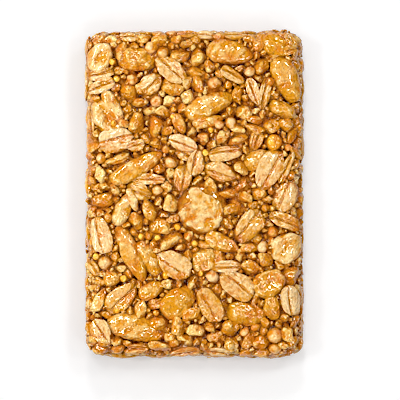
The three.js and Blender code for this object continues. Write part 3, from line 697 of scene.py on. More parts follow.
@dataclass
class Arrangement:
    """Lays every piece: the top's own ones, then what each batch finds room for.

    Attributes:
        form: The outer form that they lie under.
        side_high: The highest centre of a piece on a wall.
        side_turn: Most and least turn of a piece on a wall, in degrees.
        corner_longest: The most length of a piece where the wall turns a corner.
        corner_sink: How much deeper it lies there.
        edge: How far from the sides the centres on the top and the underside stay, twice over.
        tone_spread: How far a tone that is left to chance may be from the middle.
        painted_light_lean: Painted light from the left: how much paler such pieces are there than
            in the middle.
        bits: The pieces laid so far.
    """

    form: BarForm
    side_high: float = 10.8
    side_turn: tuple[float, float] = (-22, 22)
    corner_longest: float = 4.4
    corner_sink: float = 0.55
    edge: float = 3.0
    tone_spread: float = 0.85
    painted_light_lean: float = 0.25
    bits: list[Bit] = field(default_factory=list)

    def add(self, bit: Bit) -> None:
        """Keep a piece, and give it its number."""
        bit.number = len(self.bits)
        self.bits.append(bit)

    def is_clear(self, bit: Bit, spacing: float) -> bool:
        """Tell whether a piece has room beside those already laid, each seen as a capsule.

        Args:
            bit: The piece.
            spacing: How near the capsules may come, where 1 lets them touch.

        Returns:
            True where it has room.
        """
        centres, alongs, widths, lengths = (
            np.array([getattr(other, name) for other in self.bits])
            for name in ("centre", "along", "width", "length")
        )
        reaches = np.maximum(0.0, (lengths - widths) / 2)
        reach = max(0.0, (bit.length - bit.width) / 2)
        for end in (-1, 0, 1):
            offset = bit.centre + bit.along * end * reach - centres
            along = np.clip((offset * alongs).sum(axis=1), -reaches, reaches)
            apart = np.linalg.norm(offset - alongs * along[:, None], axis=1)
            if (apart <= spacing * (widths + bit.width) / 2).any():
                return False
        return True

    def draw_side(self, batch: Batch, draws: Draws) -> Bit:
        """Draw a piece on the wall, shorter and deeper where the wall turns a corner.

        Args:
            batch: What is drawn.
            draws: The draws.

        Returns:
            The piece.
        """
        share = draws.next()
        normal = self.form.on_side(share, 0.0).normal
        turns = min(abs(normal[0]), abs(normal[1])) > 0.01
        length = min(draws.within(batch.length), self.corner_longest if turns else self.form.width)
        width = length * draws.within(batch.slim)
        height = draws.within((width / 2 + length * 0.15, self.side_high))
        level = draws.within(batch.level) - (self.corner_sink if turns else 0.0)
        turn = draws.within(self.side_turn)
        spot = self.form.on_side(share, height)
        return self.form.settle(batch.kind, spot, length, width, turn, level)

    def draw_flat(self, batch: Batch, draws: Draws) -> Bit:
        """Draw a piece on the top or the underside.

        Args:
            batch: What is drawn.
            draws: The draws.

        Returns:
            The piece.
        """
        x = (draws.next() - 0.5) * (self.form.width - self.edge)
        y = (draws.next() - 0.5) * (self.form.length - self.edge)
        length = draws.within(batch.length)
        width = length * draws.within(batch.slim)
        turn = draws.next() * 360
        level = draws.within(batch.level)
        spot = self.form.on_top(x, y) if batch.face is Face.TOP else self.form.on_base(x, y)
        return self.form.settle(batch.kind, spot, length, width, turn, level)

    def fill(self, batches: tuple[Batch, ...], draws: Draws) -> None:
        """Try the places of each batch and keep the pieces that have room.

        Args:
            batches: The batches, in order.
            draws: The draws.
        """
        for batch in batches:
            draw = self.draw_side if batch.face is Face.SIDE else self.draw_flat
            for _ in range(batch.tries):
                bit = draw(batch, draws)
                if self.is_clear(bit, batch.spacing):
                    self.add(bit)

    def lay(self, rows: tuple[tuple, ...]) -> None:
        """Keep the top's own pieces.

        Args:
            rows: One row for each piece, as in TOP_PIECES.
        """
        for kind, x, y, length, width, turn, level, *tone in rows:
            bit = self.form.settle(Kind[kind], self.form.on_top(x, y), length, width, turn, level)
            bit.tone = tone[0] if tone else math.nan
            self.add(bit)

    def fill_gaps(self) -> None:
        """Fit crumbs in what is still open, the widest openings first."""
        gaps = Gaps(self.form)
        for bit in self.bits:
            gaps.cover(bit)
        for bit in gaps.fill():
            self.add(bit)

    def build(self) -> list[Bit]:
        """Lay every piece and give each its tone.

        Returns:
            The pieces.
        """
        self.lay(TOP_PIECES)
        self.fill(SIDE_BATCHES, Draws(SEED))
        self.lay(SMALL_PIECES)
        self.fill(FILL_BATCHES, Draws(SEED + 1))
        self.fill_gaps()
        rng = np.random.default_rng(SEED)
        for bit in self.bits:
            chance = float(np.clip(rng.normal(0, 0.5), -1, 1)) * self.tone_spread
            # Painted light: chance tones lean paler on the left and darker on the right, as if lit
            # from the left.
            chance -= self.painted_light_lean * bit.centre[0] / (self.form.width / 2)
            bit.tone = chance if math.isnan(bit.tone) else bit.tone
        return self.bits


@dataclass
class Gaps:
    """What the pieces leave open of the bar's outer form.

    Attributes:
        form: The outer form.
        step: The spacing of the places that are tried.
        radii: The sizes of crumb, the largest first.
        bite: How far a crumb reaches into its neighbours, as a share of its size.
        snug: The least and the most room for a size of crumb, as shares of it.
        sink: How deep the crumbs' crowns lie, from the least to the most.
        margin: How far past a piece the places are looked at.
    """

    form: BarForm
    step: float = 0.25
    radii: tuple[float, ...] = (1.75, 1.45, 1.2, 1.0, 0.82, 0.66, 0.52, 0.42)
    bite: float = 1.16
    snug: tuple[float, float] = (0.92, 1.1)
    sink: tuple[float, float] = (0.0, 0.85)
    margin: float = 2.5

    def __post_init__(self) -> None:
        """Lay out the places and call them all open."""
        self.places, self.normals = self.form.shell(self.form.lattice(self.step)[0])
        self.nearby = Nearby(self.places)
        self.clear = np.full(len(self.places), FAR)

    def cover(self, bit: Bit) -> None:
        """Take away what a piece covers.

        Args:
            bit: The piece, seen as an ellipse on the form.
        """
        near = self.nearby.around(bit.spot.point, bit.length / 2 + self.margin)
        away = self.places[near] - bit.spot.point
        halves = np.array([bit.length, bit.width]) / 2
        flat = away @ np.stack([bit.along, bit.across]).T
        share = np.linalg.norm(flat / halves, axis=1)
        slope = np.linalg.norm(flat / halves**2, axis=1)
        room = (share - 1) * share / np.maximum(slope, TINY)
        room = np.where(np.abs(away @ bit.up) < NEAR_FACE, room, FAR)
        self.clear[near] = np.minimum(self.clear[near], np.where(share < 0.5, -1.0, room))

    def fill(self) -> Iterator[Bit]:
        """Find a crumb for each opening, as large as fits.

        Yields:
            The crumbs, the largest size first.
        """
        rng = np.random.default_rng(SEED + 3)
        least, most = self.snug
        for radius in self.radii:
            open_places = np.flatnonzero(self.clear >= radius * least)
            rng.shuffle(open_places)
            for place in open_places:
                if self.clear[place] >= radius * least:
                    yield self.crumb(place, min(self.clear[place], radius * most), rng)

    def crumb(self, place: int, room: float, rng: np.random.Generator) -> Bit:
        """Make one crumb and take away what it covers.

        Args:
            place: The number of its place.
            room: How far it is from there to the nearest piece.
            rng: The draws.

        Returns:
            The crumb.
        """
        point, normal = self.places[place], self.normals[place]
        size = room * self.bite
        length, width = size * rng.uniform(2.0, 2.5), size * rng.uniform(1.7, 2.1)
        level = -rng.uniform(*self.sink)
        bit = self.form.settle(
            Kind.CRUMB, Spot(point, normal), length, width, rng.uniform(0, 360), level
        )
        bit.tone = float(np.clip(rng.normal(0, 0.4), -0.9, 0.9))
        near = self.nearby.around(point, size + self.margin)
        room_left = np.linalg.norm(self.places[near] - point, axis=1) - size
        self.clear[near] = np.minimum(self.clear[near], room_left)
        return bit


# --- Meshes ---

# The torn piece's length and its outline: a direction in degrees and how far it reaches there.
TORN_LENGTH = 12.8
TORN_OUTLINE = (
    (20, 5.4), (45, 4.4), (80, 4.2), (101, 6.0), (113, 6.7), (123, 6.3), (144, 4.4), (170, 4.9),
    (188, 6.4), (205, 5.9), (228, 5.7), (256, 5.9), (284, 6.2), (309, 6.3), (340, 5.8),
)


@dataclass
class Surface:
    """Points, triangles and values at the points, on their way to a mesh."""

    points: Points
    faces: Points
    values: dict[str, Points] = field(default_factory=dict)

    @staticmethod
    def joined(parts: list["Surface"]) -> "Surface":
        """Join several surfaces that carry the same values.

        Args:
            parts: The surfaces.

        Returns:
            One surface.
        """
        starts = np.cumsum([0] + [len(part.points) for part in parts[:-1]])
        faces = np.concatenate([part.faces + start for part, start in zip(parts, starts)])
        values = {
            name: np.concatenate([part.values[name] for part in parts]) for name in parts[0].values
        }
        return Surface(np.concatenate([part.points for part in parts]), faces, values)

    def to_object(self, name: str) -> bpy.types.Object:
        """Make a smooth-shaded object in metres and put it in the scene.

        Args:
            name: The object's name.

        Returns:
            The object.
        """
        mesh = bpy.data.meshes.new(name)
        count = len(self.faces)
        mesh.vertices.add(len(self.points))
        mesh.vertices.foreach_set("co", (self.points * MM).astype(np.float32).ravel())
        mesh.loops.add(count * 3)
        mesh.loops.foreach_set("vertex_index", self.faces.astype(np.int32).ravel())
        mesh.polygons.add(count)
        mesh.polygons.foreach_set("loop_start", np.arange(count, dtype=np.int32) * 3)
        mesh.update(calc_edges=True)
        mesh.shade_smooth()
        for label, data in self.values.items():
            write_values(mesh, label, data)
        made = bpy.data.objects.new(name, mesh)
        bpy.context.collection.objects.link(made)
        return made


def write_values(mesh: bpy.types.Mesh, label: str, data: Points) -> None:
    """Store a number or a vector for each vertex of a mesh.

    Args:
        mesh: The mesh.
        label: The attribute's name.
        data: One number or one row of three for each vertex.
    """
    vector = data.ndim == 2
    layer = mesh.attributes.new(label, "FLOAT_VECTOR" if vector else "FLOAT", "POINT")
    layer.data.foreach_set("vector" if vector else "value", data.astype(np.float32).ravel())


def read_mesh(mesh: bpy.types.Mesh) -> tuple[Points, Points]:
    """Read a mesh of triangles.

    Args:
        mesh: The mesh.

    Returns:
        Its points in millimetres, and the numbers of the points in each triangle.
    """
    points = np.empty((len(mesh.vertices), 3), np.float32)
    faces = np.empty((len(mesh.polygons), 3), np.int32)
    mesh.vertices.foreach_get("co", points.ravel())
    mesh.loops.foreach_get("vertex_index", faces.ravel())
    return points.astype(float) / MM, faces


def hollows(points: Points, faces: Points, passes: int = 4) -> Points:
    """Return how far each point of a surface lies under the mean of those round it.

    Args:
        points: The surface's points.
        faces: Its triangles, facing outwards.
        passes: How often the mean is taken, which sets how wide a fold it finds.

    Returns:
        One distance for each point, below 0 on a crest and above 0 in a fold, with 0 for most.
    """
    first, second, third = points[faces.T]
    facing = np.cross(second - first, third - first)
    normals, smooth = np.zeros_like(points), points.copy()
    start, end = np.concatenate([faces, faces[:, [1, 2, 0]], faces[:, [2, 0, 1]]])[:, :2].T
    count = np.bincount(start, minlength=len(points))
    for axis in range(3):
        for corner in range(3):
            normals[:, axis] += np.bincount(faces[:, corner], facing[:, axis], len(points))
        for _ in range(passes):
            mean = np.bincount(start, smooth[end, axis], len(points)) / np.maximum(count, 1)
            smooth[:, axis] = 0.5 * (smooth[:, axis] + mean)
    normals /= np.maximum(np.linalg.norm(normals, axis=1, keepdims=True), TINY)
    under = ((smooth - points) * normals).sum(axis=1)
    return under - np.median(under)


@dataclass(frozen=True)
class BallGrid:
    """A unit ball of rings round Z, with more rings above the waist than below it.

    Attributes:
        around: How many points a ring has.
        above: How many rings there are from the top pole to the waist.
        below: The same from the waist to the bottom pole.
        crowd: How the rings above the waist are spaced, closer towards it below 1.
    """

    around: int
    above: int
    below: int
    crowd: float = 0.85

    def points(self) -> Points:
        """Lay out the ball's points.

        Returns:
            The top pole, the rings and the bottom pole.
        """
        above = math.pi / 2 * (np.arange(1, self.above + 1) / self.above) ** self.crowd
        below = math.pi / 2 * (1 + np.arange(1, self.below) / self.below)
        polar = np.concatenate([above, below])
        turn = np.arange(self.around) * 2 * math.pi / self.around
        ring = np.stack([np.cos(turn), np.sin(turn)], axis=1)
        rows = [np.insert(ring * math.sin(angle), 2, math.cos(angle), axis=1) for angle in polar]
        return np.concatenate([[[0, 0, 1.0]], *rows, [[0, 0, -1.0]]])

    def faces(self) -> Points:
        """Join the ball's points.

        Returns:
            The triangles, facing outwards.
        """
        rings = self.above + self.below - 1
        here = np.arange(self.around)
        after = (here + 1) % self.around
        last = 1 + (rings - 1) * self.around
        parts = [np.stack([np.zeros_like(here), 1 + here, 1 + after], axis=1)]
        for ring in range(rings - 1):
            upper = 1 + ring * self.around
            lower = upper + self.around
            parts.append(np.stack([upper + here, lower + here, lower + after], axis=1))
            parts.append(np.stack([upper + here, lower + after, upper + after], axis=1))
        foot = np.full_like(here, last + self.around)
        parts.append(np.stack([last + here, foot, last + after], axis=1))
        return np.concatenate(parts)


def squared(x: Points, y: Points, power: float) -> Points:
    """Return how much further from its middle a squared outline reaches than a round one.

    Args:
        x: The points' places along the piece.
        y: Their places across it.
        power: 2 for a round outline and more for a squarer one.

    Returns:
        One factor for each point.
    """
    radius = np.hypot(x, y)
    safe = np.maximum(radius, TINY)
    total = (np.abs(x) / safe) ** power + (np.abs(y) / safe) ** power
    return np.where(radius > TINY, np.maximum(total, 0.01) ** (-1 / power), 1.0)


def fall(height: Points) -> Points:
    """Return how far points fall short of a piece's crown, from 0 there to 1 at its waist.

    Args:
        height: How high the points stand over the waist, where the crown stands at 1.

    Returns:
        One value for each point.
    """
    return 1 - np.clip(height, 0, 1) ** 1.6


@dataclass
class PieceSet:
    """Pieces that share a mesh and a finish.

    Attributes:
        finish: Their finish.
        name: The object's name.
        slot: The record's material slot; not used.
        kinds: The kinds that belong to it.
        grid: The ball that each piece is shaped from.
        root: How far below its waist a piece reaches at least.
    """

    finish: "GlazedFood"
    name: str
    slot: str
    kinds: tuple[Kind, ...]
    grid: BallGrid
    root: float = 0.8

    def shape(self, bit: Bit, ball: Points) -> Points:
        """Return the piece's points in its own frame, in millimetres."""
        raise NotImplementedError

    def seam(self, bit: Bit, ball: Points) -> Points:
        """Return each point's distance from the piece's seam, far for a piece that has none."""
        return np.full(len(ball), FAR)

    def build(self, bits: list[Bit], form: BarForm) -> bpy.types.Object:
        """Shape every piece of these kinds and join them.

        Args:
            bits: Every piece in the bar.
            form: The outer form that presses them flat.

        Returns:
            The joined object.
        """
        ball, faces = self.grid.points(), self.grid.faces()
        parts = []
        for bit in (bit for bit in bits if bit.kind in self.kinds):
            local = self.shape(bit, ball)
            points = form.press(bit.place(local))
            values = {
                "local": local,
                "tone": np.full(len(points), bit.tone),
                "depth": form.depth(points),
                "fall": fall(local[:, 2] / bit.half),
                "seam": self.seam(bit, ball),
            }
            parts.append(Surface(points, faces, values))
        joined = Surface.joined(parts)
        joined.values["hollow"] = hollows(joined.points, joined.faces)
        made = joined.to_object(self.name)
        made.data.materials.append(self.finish.build())
        LOG.info("%s: %d pieces", self.name, len(parts))
        return made


@dataclass
class Peanuts(PieceSet):
    """Peanut halves: smooth domes, split faces, one torn piece and lumps under thick glaze.

    Attributes:
        dish: How deep a split face dips in the middle.
        groove: How deep the germ's groove is.
        folds: How deep the torn piece's folds are.
        ridge: How high the ridge across it stands.
    """

    name: str = "peanuts"
    slot: str = "peanut"
    kinds: tuple[Kind, ...] = (Kind.NUT, Kind.CUT, Kind.GLAZED, Kind.TORN)
    grid: BallGrid = BallGrid(40, 15, 4)
    dish: float = 0.6
    groove: float = 0.25
    folds: float = 0.5
    ridge: float = 0.6

    def shape(self, bit: Bit, ball: Points) -> Points:
        """Shape one half by what shows of it."""
        own = {Kind.CUT: self.split_face, Kind.TORN: self.torn_face}
        return own.get(bit.kind, self.dome)(bit, ball)

    def dome(self, bit: Bit, ball: Points) -> Points:
        """Shape a half with its round side up, blunt at one end and a little bent.

        Args:
            bit: The piece.
            ball: A unit ball's points.

        Returns:
            The piece's points in its own frame.
        """
        x, y, z = ball.T
        swell = squared(x, y, 2.35)
        girth = 1 - 0.15 * x - 0.05 * x**2
        bend = 0.13 * math.sin(bit.phase) * (1 - x**2)
        crown = np.sign(z) * np.abs(z) ** 0.62
        under = max(bit.half * 0.5, self.root)
        local = np.stack([
            x * swell * bit.length / 2,
            (y * swell * girth + bend) * bit.width / 2,
            crown * girth * np.where(z > 0, bit.half, under),
        ], axis=1)
        lumps, fine = (0.28, 0.13) if bit.kind is Kind.GLAZED else (0.12, 0.05)
        ripple = Ripple(bit.number)
        relief = lumps * ripple.at(local, 3.2) + fine * ripple.at(local, 1.1)
        local[:, 2] += relief * (z > -0.2)
        local[:, :2] *= (1 + 0.03 * ripple.at(local, 2.6))[:, None]
        return local

    def split_face(self, bit: Bit, ball: Points) -> Points:
        """Shape a half with its split face up: a soft rim, a shallow dish and the germ's groove.

        Args:
            bit: The piece.
            ball: A unit ball's points.

        Returns:
            The piece's points in its own frame.
        """
        x, y, z = ball.T
        swell = squared(x, y, 2.2)
        rho = np.hypot(x, y)
        girth = 1 - 0.1 * x
        local = np.stack([
            x * swell * bit.length / 2,
            y * swell * girth * bit.width / 2,
            np.where(z > 0, np.clip(1 - rho**7, 0, 1) ** 0.5 * bit.half, z * self.root),
        ], axis=1)
        dish = self.dish * np.clip(1 - (rho / 0.8) ** 2, 0, 1)
        groove = self.groove * np.exp(-((local[:, 1] / 0.5) ** 2))
        groove *= np.clip(1.2 - 1.4 * np.abs(x + 0.25), 0, 1)
        ripple = Ripple(bit.number)
        relief = 0.12 * ripple.at(local, 2.6) + 0.04 * ripple.at(local, 0.9) - dish - groove
        local[:, 2] += np.where(z > 0.05, relief, 0)
        local[:, :2] *= (1 + 0.045 * ripple.at(local, 3.0))[:, None]
        return local

    def torn_face(self, bit: Bit, ball: Points) -> Points:
        """Shape a crumpled piece: a narrow top end, a broad rounded foot and folds that fan out.

        Args:
            bit: The piece.
            ball: A unit ball's points.

        Returns:
            The piece's points in its own frame.
        """
        x, y, z = ball.T
        rho = np.hypot(x, y)
        turn = np.degrees(np.arctan2(y, x))
        ways, reaches = np.array(TORN_OUTLINE).T
        reach = np.interp(turn, ways, reaches, period=360)
        reach = reach * (1 + 0.02 * np.sin(np.radians(turn) * 23)) * bit.length / TORN_LENGTH
        local = np.stack([
            x * reach,
            y * reach,
            np.where(z > 0, np.clip(1 - rho**9, 0, 1) ** 0.5 * bit.half, z),
        ], axis=1)
        ripple = Ripple(bit.number)
        fan = np.arctan2(local[:, 1] + 1.0, local[:, 0] - 3.0)
        folds = np.abs(np.sin(8.0 * fan + 0.8 * ripple.at(local, 6.0))) ** 0.7
        folds *= np.clip(rho * 1.8, 0, 1)
        ridge = self.ridge * np.exp(-(((local[:, 1] + 1.1 * local[:, 0] - 0.8) / 0.6) ** 2))
        relief = 0.19 * ripple.at(local, 4.2) + 0.12 * ripple.at(local, 1.7)
        local[:, 2] += np.where(z > 0.05, relief - self.folds * folds + ridge, 0)
        return local


@dataclass
class OatFlakes(PieceSet):
    """Rolled oats: two thin lobes with a crease between them.

    Attributes:
        crease: How deep the crease is.
        crease_width: How wide it is.
    """

    name: str = "oat_flakes"
    slot: str = "oat"
    kinds: tuple[Kind, ...] = (Kind.OAT,)
    grid: BallGrid = BallGrid(48, 14, 3)
    crease: float = 0.62
    crease_width: float = 0.26

    def outline(self, bit: Bit, ball: Points) -> tuple[Points, Points, Points]:
        """Lay out one flake, pointed and frayed.

        Args:
            bit: The flake.
            ball: A unit ball's points.

        Returns:
            How far along the flake and across it each point lies, and how far from its crease.
        """
        x, y, _ = ball.T
        ripple = Ripple(bit.number)
        swell = squared(x, y, 2.3 + 0.4 * math.sin(bit.phase * 2.3))
        tip = 1 - 0.1 * x**2 + 0.2 * x * math.sin(bit.phase)
        fray = 1 + 0.045 * ripple.at(ball, 0.9) + 0.025 * ripple.at(ball, 0.35)
        side = y * swell * tip * fray * bit.width / 2
        shift = bit.width * (0.1 * math.sin(bit.phase * 1.3) + 0.06 * x * math.cos(bit.phase))
        seam = side - shift - 0.12 * ripple.at(ball, 1.6)
        return x * swell * fray * bit.length / 2, side, seam

    def seam(self, bit: Bit, ball: Points) -> Points:
        """Return each point's distance across the flake from its crease."""
        return self.outline(bit, ball)[2]

    def shape(self, bit: Bit, ball: Points) -> Points:
        """Shape one flake with its crease up, pointed, frayed and a little curled.

        Args:
            bit: The piece.
            ball: A unit ball's points.

        Returns:
            The piece's points in its own frame.
        """
        x, y, z = ball.T
        long, side, seam = self.outline(bit, ball)
        lobes = np.sign(z) * np.abs(z) ** 0.6
        height = lobes * np.where(z > 0, bit.half, self.root)
        crease = np.exp(-((seam / self.crease_width) ** 2)) * np.clip(1.15 - x**2, 0, 1)
        second = 0.2 * np.exp(-(((seam - 0.24 * bit.width) / self.crease_width) ** 2))
        second *= math.sin(bit.phase * 3) > 0
        lean = 0.22 * bit.half * math.sin(bit.phase * 2.1) * np.sign(seam)
        bulge = 0.34 * bit.half * np.clip(np.abs(seam) / (bit.width / 2), 0, 1) * (1 - x**2)
        curl = 0.35 * math.sin(bit.phase * 1.7) * x**2 - 0.2 * math.cos(bit.phase) * y**2
        ripple = Ripple(bit.number)
        ridges = 0.045 * np.sin(2 * math.pi * side / 0.8 + 1.5 * ripple.at(ball, 1.2))
        relief = bulge + lean + ridges - self.crease * crease - second
        local = np.stack([long, side, height], axis=1)
        local[:, 2] += np.where(z > 0.02, relief, 0) + curl
        local[:, 2] += (0.11 * ripple.at(local, 2.2) + 0.05 * ripple.at(local, 1.0)) * (z > -0.2)
        return local


def chunk(ball: Points, rng: np.random.Generator, faces: int = 8, edge: float = 9.0) -> Points:
    """Shape a ball into a broken chunk of a few flat faces with worn edges.

    Args:
        ball: A unit ball's points.
        rng: The draws.
        faces: How many faces it has.
        edge: How sharp its edges are.

    Returns:
        Its points, which just reach the unit cube's sides.
    """
    ways = rng.normal(size=(faces, 3))
    ways /= np.linalg.norm(ways, axis=1, keepdims=True)
    ways = np.concatenate([ways, -ways[:3], np.eye(3), -np.eye(3)])
    far = np.concatenate([rng.uniform(0.5, 0.95, faces + 3), np.full(6, 1.05)])
    facing = np.maximum(ball @ ways.T, 0) / far
    points = ball * ((facing**edge).sum(axis=1) ** (-1 / edge))[:, None]
    return points / np.abs(points).max(axis=0)


def kernel(ball: Points, rng: np.random.Generator, tip: float = 0.2) -> Points:
    """Shape a ball into a whole seed with a blunt tip, a flat scar and uneven sides.

    Args:
        ball: A unit ball's points.
        rng: The draws.
        tip: How far the tip stands out, as a share of the size.

    Returns:
        Its points, which just reach the unit cube's sides.
    """
    scar = rng.normal(size=3)
    scar /= np.linalg.norm(scar)
    facing = np.clip(ball[:, 0], 0, 1) ** 7
    flat = np.clip(ball @ scar, 0, 1) ** 5
    uneven = Ripple(int(rng.integers(1000))).at(ball, 2.2)
    points = ball * (1 + tip * facing - 0.26 * flat + 0.07 * uneven)[:, None]
    return points / np.abs(points).max(axis=0)


def cluster(
    ball: Points, rng: np.random.Generator, lobes: int = 6, parted: float = 12.0
) -> Points:
    """Shape a ball into puffed lobes melted together.

    Args:
        ball: A unit ball's points.
        rng: The draws.
        lobes: How many lobes it has.
        parted: How sharply the lobes part.

    Returns:
        Its points, which just reach the unit cube's sides.
    """
    total = np.full(len(ball), math.exp(0.7 * parted))
    for _ in range(lobes):
        middle = rng.normal(size=3)
        middle *= rng.uniform(0.45, 0.65) / np.linalg.norm(middle)
        radius = rng.uniform(0.36, 0.52)
        toward = ball @ middle
        inside = toward**2 - middle @ middle + radius**2
        hit = toward + np.sqrt(np.maximum(inside, 0))
        total += np.where((inside > 0) & (toward > 0), np.exp(hit * parted), 0)
    points = ball * (np.log(total) / parted)[:, None]
    return points / np.abs(points).max(axis=0)


@dataclass
class Crisps(PieceSet):
    """Cereal crisps: broken chunks and puffed clusters.

    Attributes:
        swell: How much larger than its own size each one is made.
        clusters: How many in five are puffed clusters.
    """

    name: str = "cereal_crisps"
    slot: str = "crisp"
    kinds: tuple[Kind, ...] = (Kind.CRISP,)
    grid: BallGrid = BallGrid(22, 10, 5)
    swell: float = 1.1
    clusters: int = 2

    def shape(self, bit: Bit, ball: Points) -> Points:
        """Shape one crisp.

        Args:
            bit: The piece.
            ball: A unit ball's points.

        Returns:
            The piece's points in its own frame.
        """
        rng = np.random.default_rng(bit.number + SEED)
        unit = (cluster if bit.number % 5 < self.clusters else chunk)(ball, rng)
        ripple = Ripple(bit.number)
        unit = unit * (1 + 0.05 * ripple.at(ball, 0.7) + 0.025 * ripple.at(ball, 0.3))[:, None]
        return unit * [bit.length * self.swell / 2, bit.width * self.swell / 2, bit.half]


@dataclass
class Syrup:
    """The set caramel that fills the bar and rises a little round every piece.

    Attributes:
        finish: Its finish.
        name: The object's name.
        slot: The record's material slot; not used.
        step: The mesh's spacing.
        top_depth: How deep it lies under the top where no piece is near.
        side_depth: The same under the walls.
        base_depth: The same over the underside.
        least_depth: How deep it lies at least where no piece is near, and over a piece.
        skirt: How far it wets out past a piece.
        film: How far under a piece's surface it ends.
        blend: How softly it rises.
    """

    finish: "SyrupFinish"
    name: str = "syrup"
    slot: str = "syrup"
    step: float = 0.4
    top_depth: float = 2.2
    side_depth: float = 2.2
    base_depth: float = 0.4
    least_depth: tuple[float, float] = (0.15, 0.05)
    skirt: float = 0.14
    film: float = 0.95
    blend: float = 0.12

    def rest_depth(self, points: Points, normals: Points) -> Points:
        """Return how deep the syrup lies where no piece is near.

        Args:
            points: Places on the outer form.
            normals: The form's normals there.

        Returns:
            One depth for each place.
        """
        up = normals[:, 2]
        depth = self.side_depth + (self.top_depth - self.side_depth) * np.clip(up, 0, 1)
        depth += (self.base_depth - self.side_depth) * np.clip(-up * 1.6, 0, 1)
        waves = 0.3 * SYRUP_WAVES.at(points, 4.5) + 0.22 * FINE_SYRUP_WAVES.at(points, 1.7)
        depth += waves * np.clip(depth / self.top_depth, 0.2, 1)
        return np.maximum(depth, self.least_depth[0])

    def build(self, bits: list[Bit], form: BarForm) -> bpy.types.Object:
        """Make the syrup round all the pieces.

        Args:
            bits: Every piece in the bar.
            form: The outer form.

        Returns:
            The object, whose points carry how deep they lie.
        """
        points, faces = form.lattice(self.step)
        outer, normals = form.shell(points)
        nearby = Nearby(outer)
        total = np.exp(-self.rest_depth(outer, normals) / self.blend)
        for bit in bits:
            near = nearby.around(bit.spot.point, bit.length / 2 + self.skirt)
            away = outer[near] - bit.spot.point
            along = away @ bit.along / (bit.length / 2 + self.skirt)
            across = away @ bit.across / (bit.width / 2 + self.skirt)
            share = np.clip(1 - along**2 - across**2, 0, 1)
            inside = (share > 0) & (np.abs(away @ bit.up) < NEAR_FACE)
            depth = bit.half * (1 - np.sqrt(share)) - bit.level + self.film
            total[near] += np.where(inside, np.exp(-depth / self.blend), 0)
        depth = np.maximum(-self.blend * np.log(total), self.least_depth[1])
        surface = Surface(outer - normals * depth[:, None], faces, {"depth": depth})
        made = surface.to_object(self.name)
        made.data.materials.append(self.finish.build())
        return made


# --- Node trees ---


class Wire:
    """An output socket that adds Math nodes when it is used in arithmetic."""

    def __init__(self, graph: "Graph", socket: bpy.types.NodeSocket) -> None:
        """Wrap an output socket of a graph."""
        self.graph = graph
        self.socket = socket

    def _math(self, operation: str, *values: "Wire | float") -> "Wire":
        """Add a Math node on some values."""
        return self.graph.node("ShaderNodeMath", {"operation": operation}, dict(enumerate(values)))

    def __add__(self, other: "Wire | float") -> "Wire":
        """Add a value."""
        return self._math("ADD", self, other)

    __radd__ = __add__

    def __sub__(self, other: "Wire | float") -> "Wire":
        """Take a value away."""
        return self._math("SUBTRACT", self, other)

    def __rsub__(self, other: float) -> "Wire":
        """Take away from a number."""
        return self._math("SUBTRACT", other, self)

    def __mul__(self, other: "Wire | float") -> "Wire":
        """Multiply by a value."""
        return self._math("MULTIPLY", self, other)

    __rmul__ = __mul__

    def __truediv__(self, other: "Wire | float") -> "Wire":
        """Divide by a value."""
        return self._math("DIVIDE", self, other)

    def __rtruediv__(self, other: float) -> "Wire":
        """Divide a number."""
        return self._math("DIVIDE", other, self)

    def between(self, low: float, high: float) -> "Wire":
        """Return 0 below the low value, 1 above the high one and a smooth step between."""
        values = {"Value": self, "From Min": low, "From Max": high}
        return self.graph.node("ShaderNodeMapRange", {"interpolation_type": "SMOOTHSTEP"}, values)

    def clamped(self) -> "Wire":
        """Return the value held between 0 and 1."""
        return self.graph.node("ShaderNodeClamp", {}, {"Value": self})


Value = Wire | float | int | bool | tuple | bpy.types.ID


class Graph:
    """A node tree that is written as expressions."""

    tree: bpy.types.NodeTree

    def node(
        self,
        kind: str,
        settings: dict[str, object],
        values: dict[str | int, Value],
        output: str = "",
    ) -> Wire:
        """Add a node.

        Args:
            kind: The node's type.
            settings: Its own settings, set before its sockets.
            values: What goes into its sockets, by name or by number.
            output: Which output to return, or the first one in use.

        Returns:
            The output.
        """
        made = self.tree.nodes.new(kind)
        for name, setting in settings.items():
            setattr(made, name, setting)
        for key, value in values.items():
            target = made.inputs[key] if isinstance(key, int) else self._named(made.inputs, key)
            if isinstance(value, Wire):
                self.tree.links.new(value.socket, target)
            else:
                target.default_value = value
        return Wire(self, self._named(made.outputs, output))

    @staticmethod
    def _named(sockets: bpy.types.bpy_prop_collection, name: str) -> bpy.types.NodeSocket:
        """Return the socket in use that has some name, or the first one for an empty name."""
        return next(socket for socket in sockets if socket.enabled and name in ("", socket.name))

    def scaled(self, vector: Wire, factor: Value) -> Wire:
        """Return a vector times a number."""
        values = {"Vector": vector, "Scale": factor}
        return self.node("ShaderNodeVectorMath", {"operation": "SCALE"}, values)

    def vectors(self, operation: str, first: Wire, second: Value) -> Wire:
        """Return what a Vector Math node makes of two vectors."""
        return self.node("ShaderNodeVectorMath", {"operation": operation}, {0: first, 1: second})


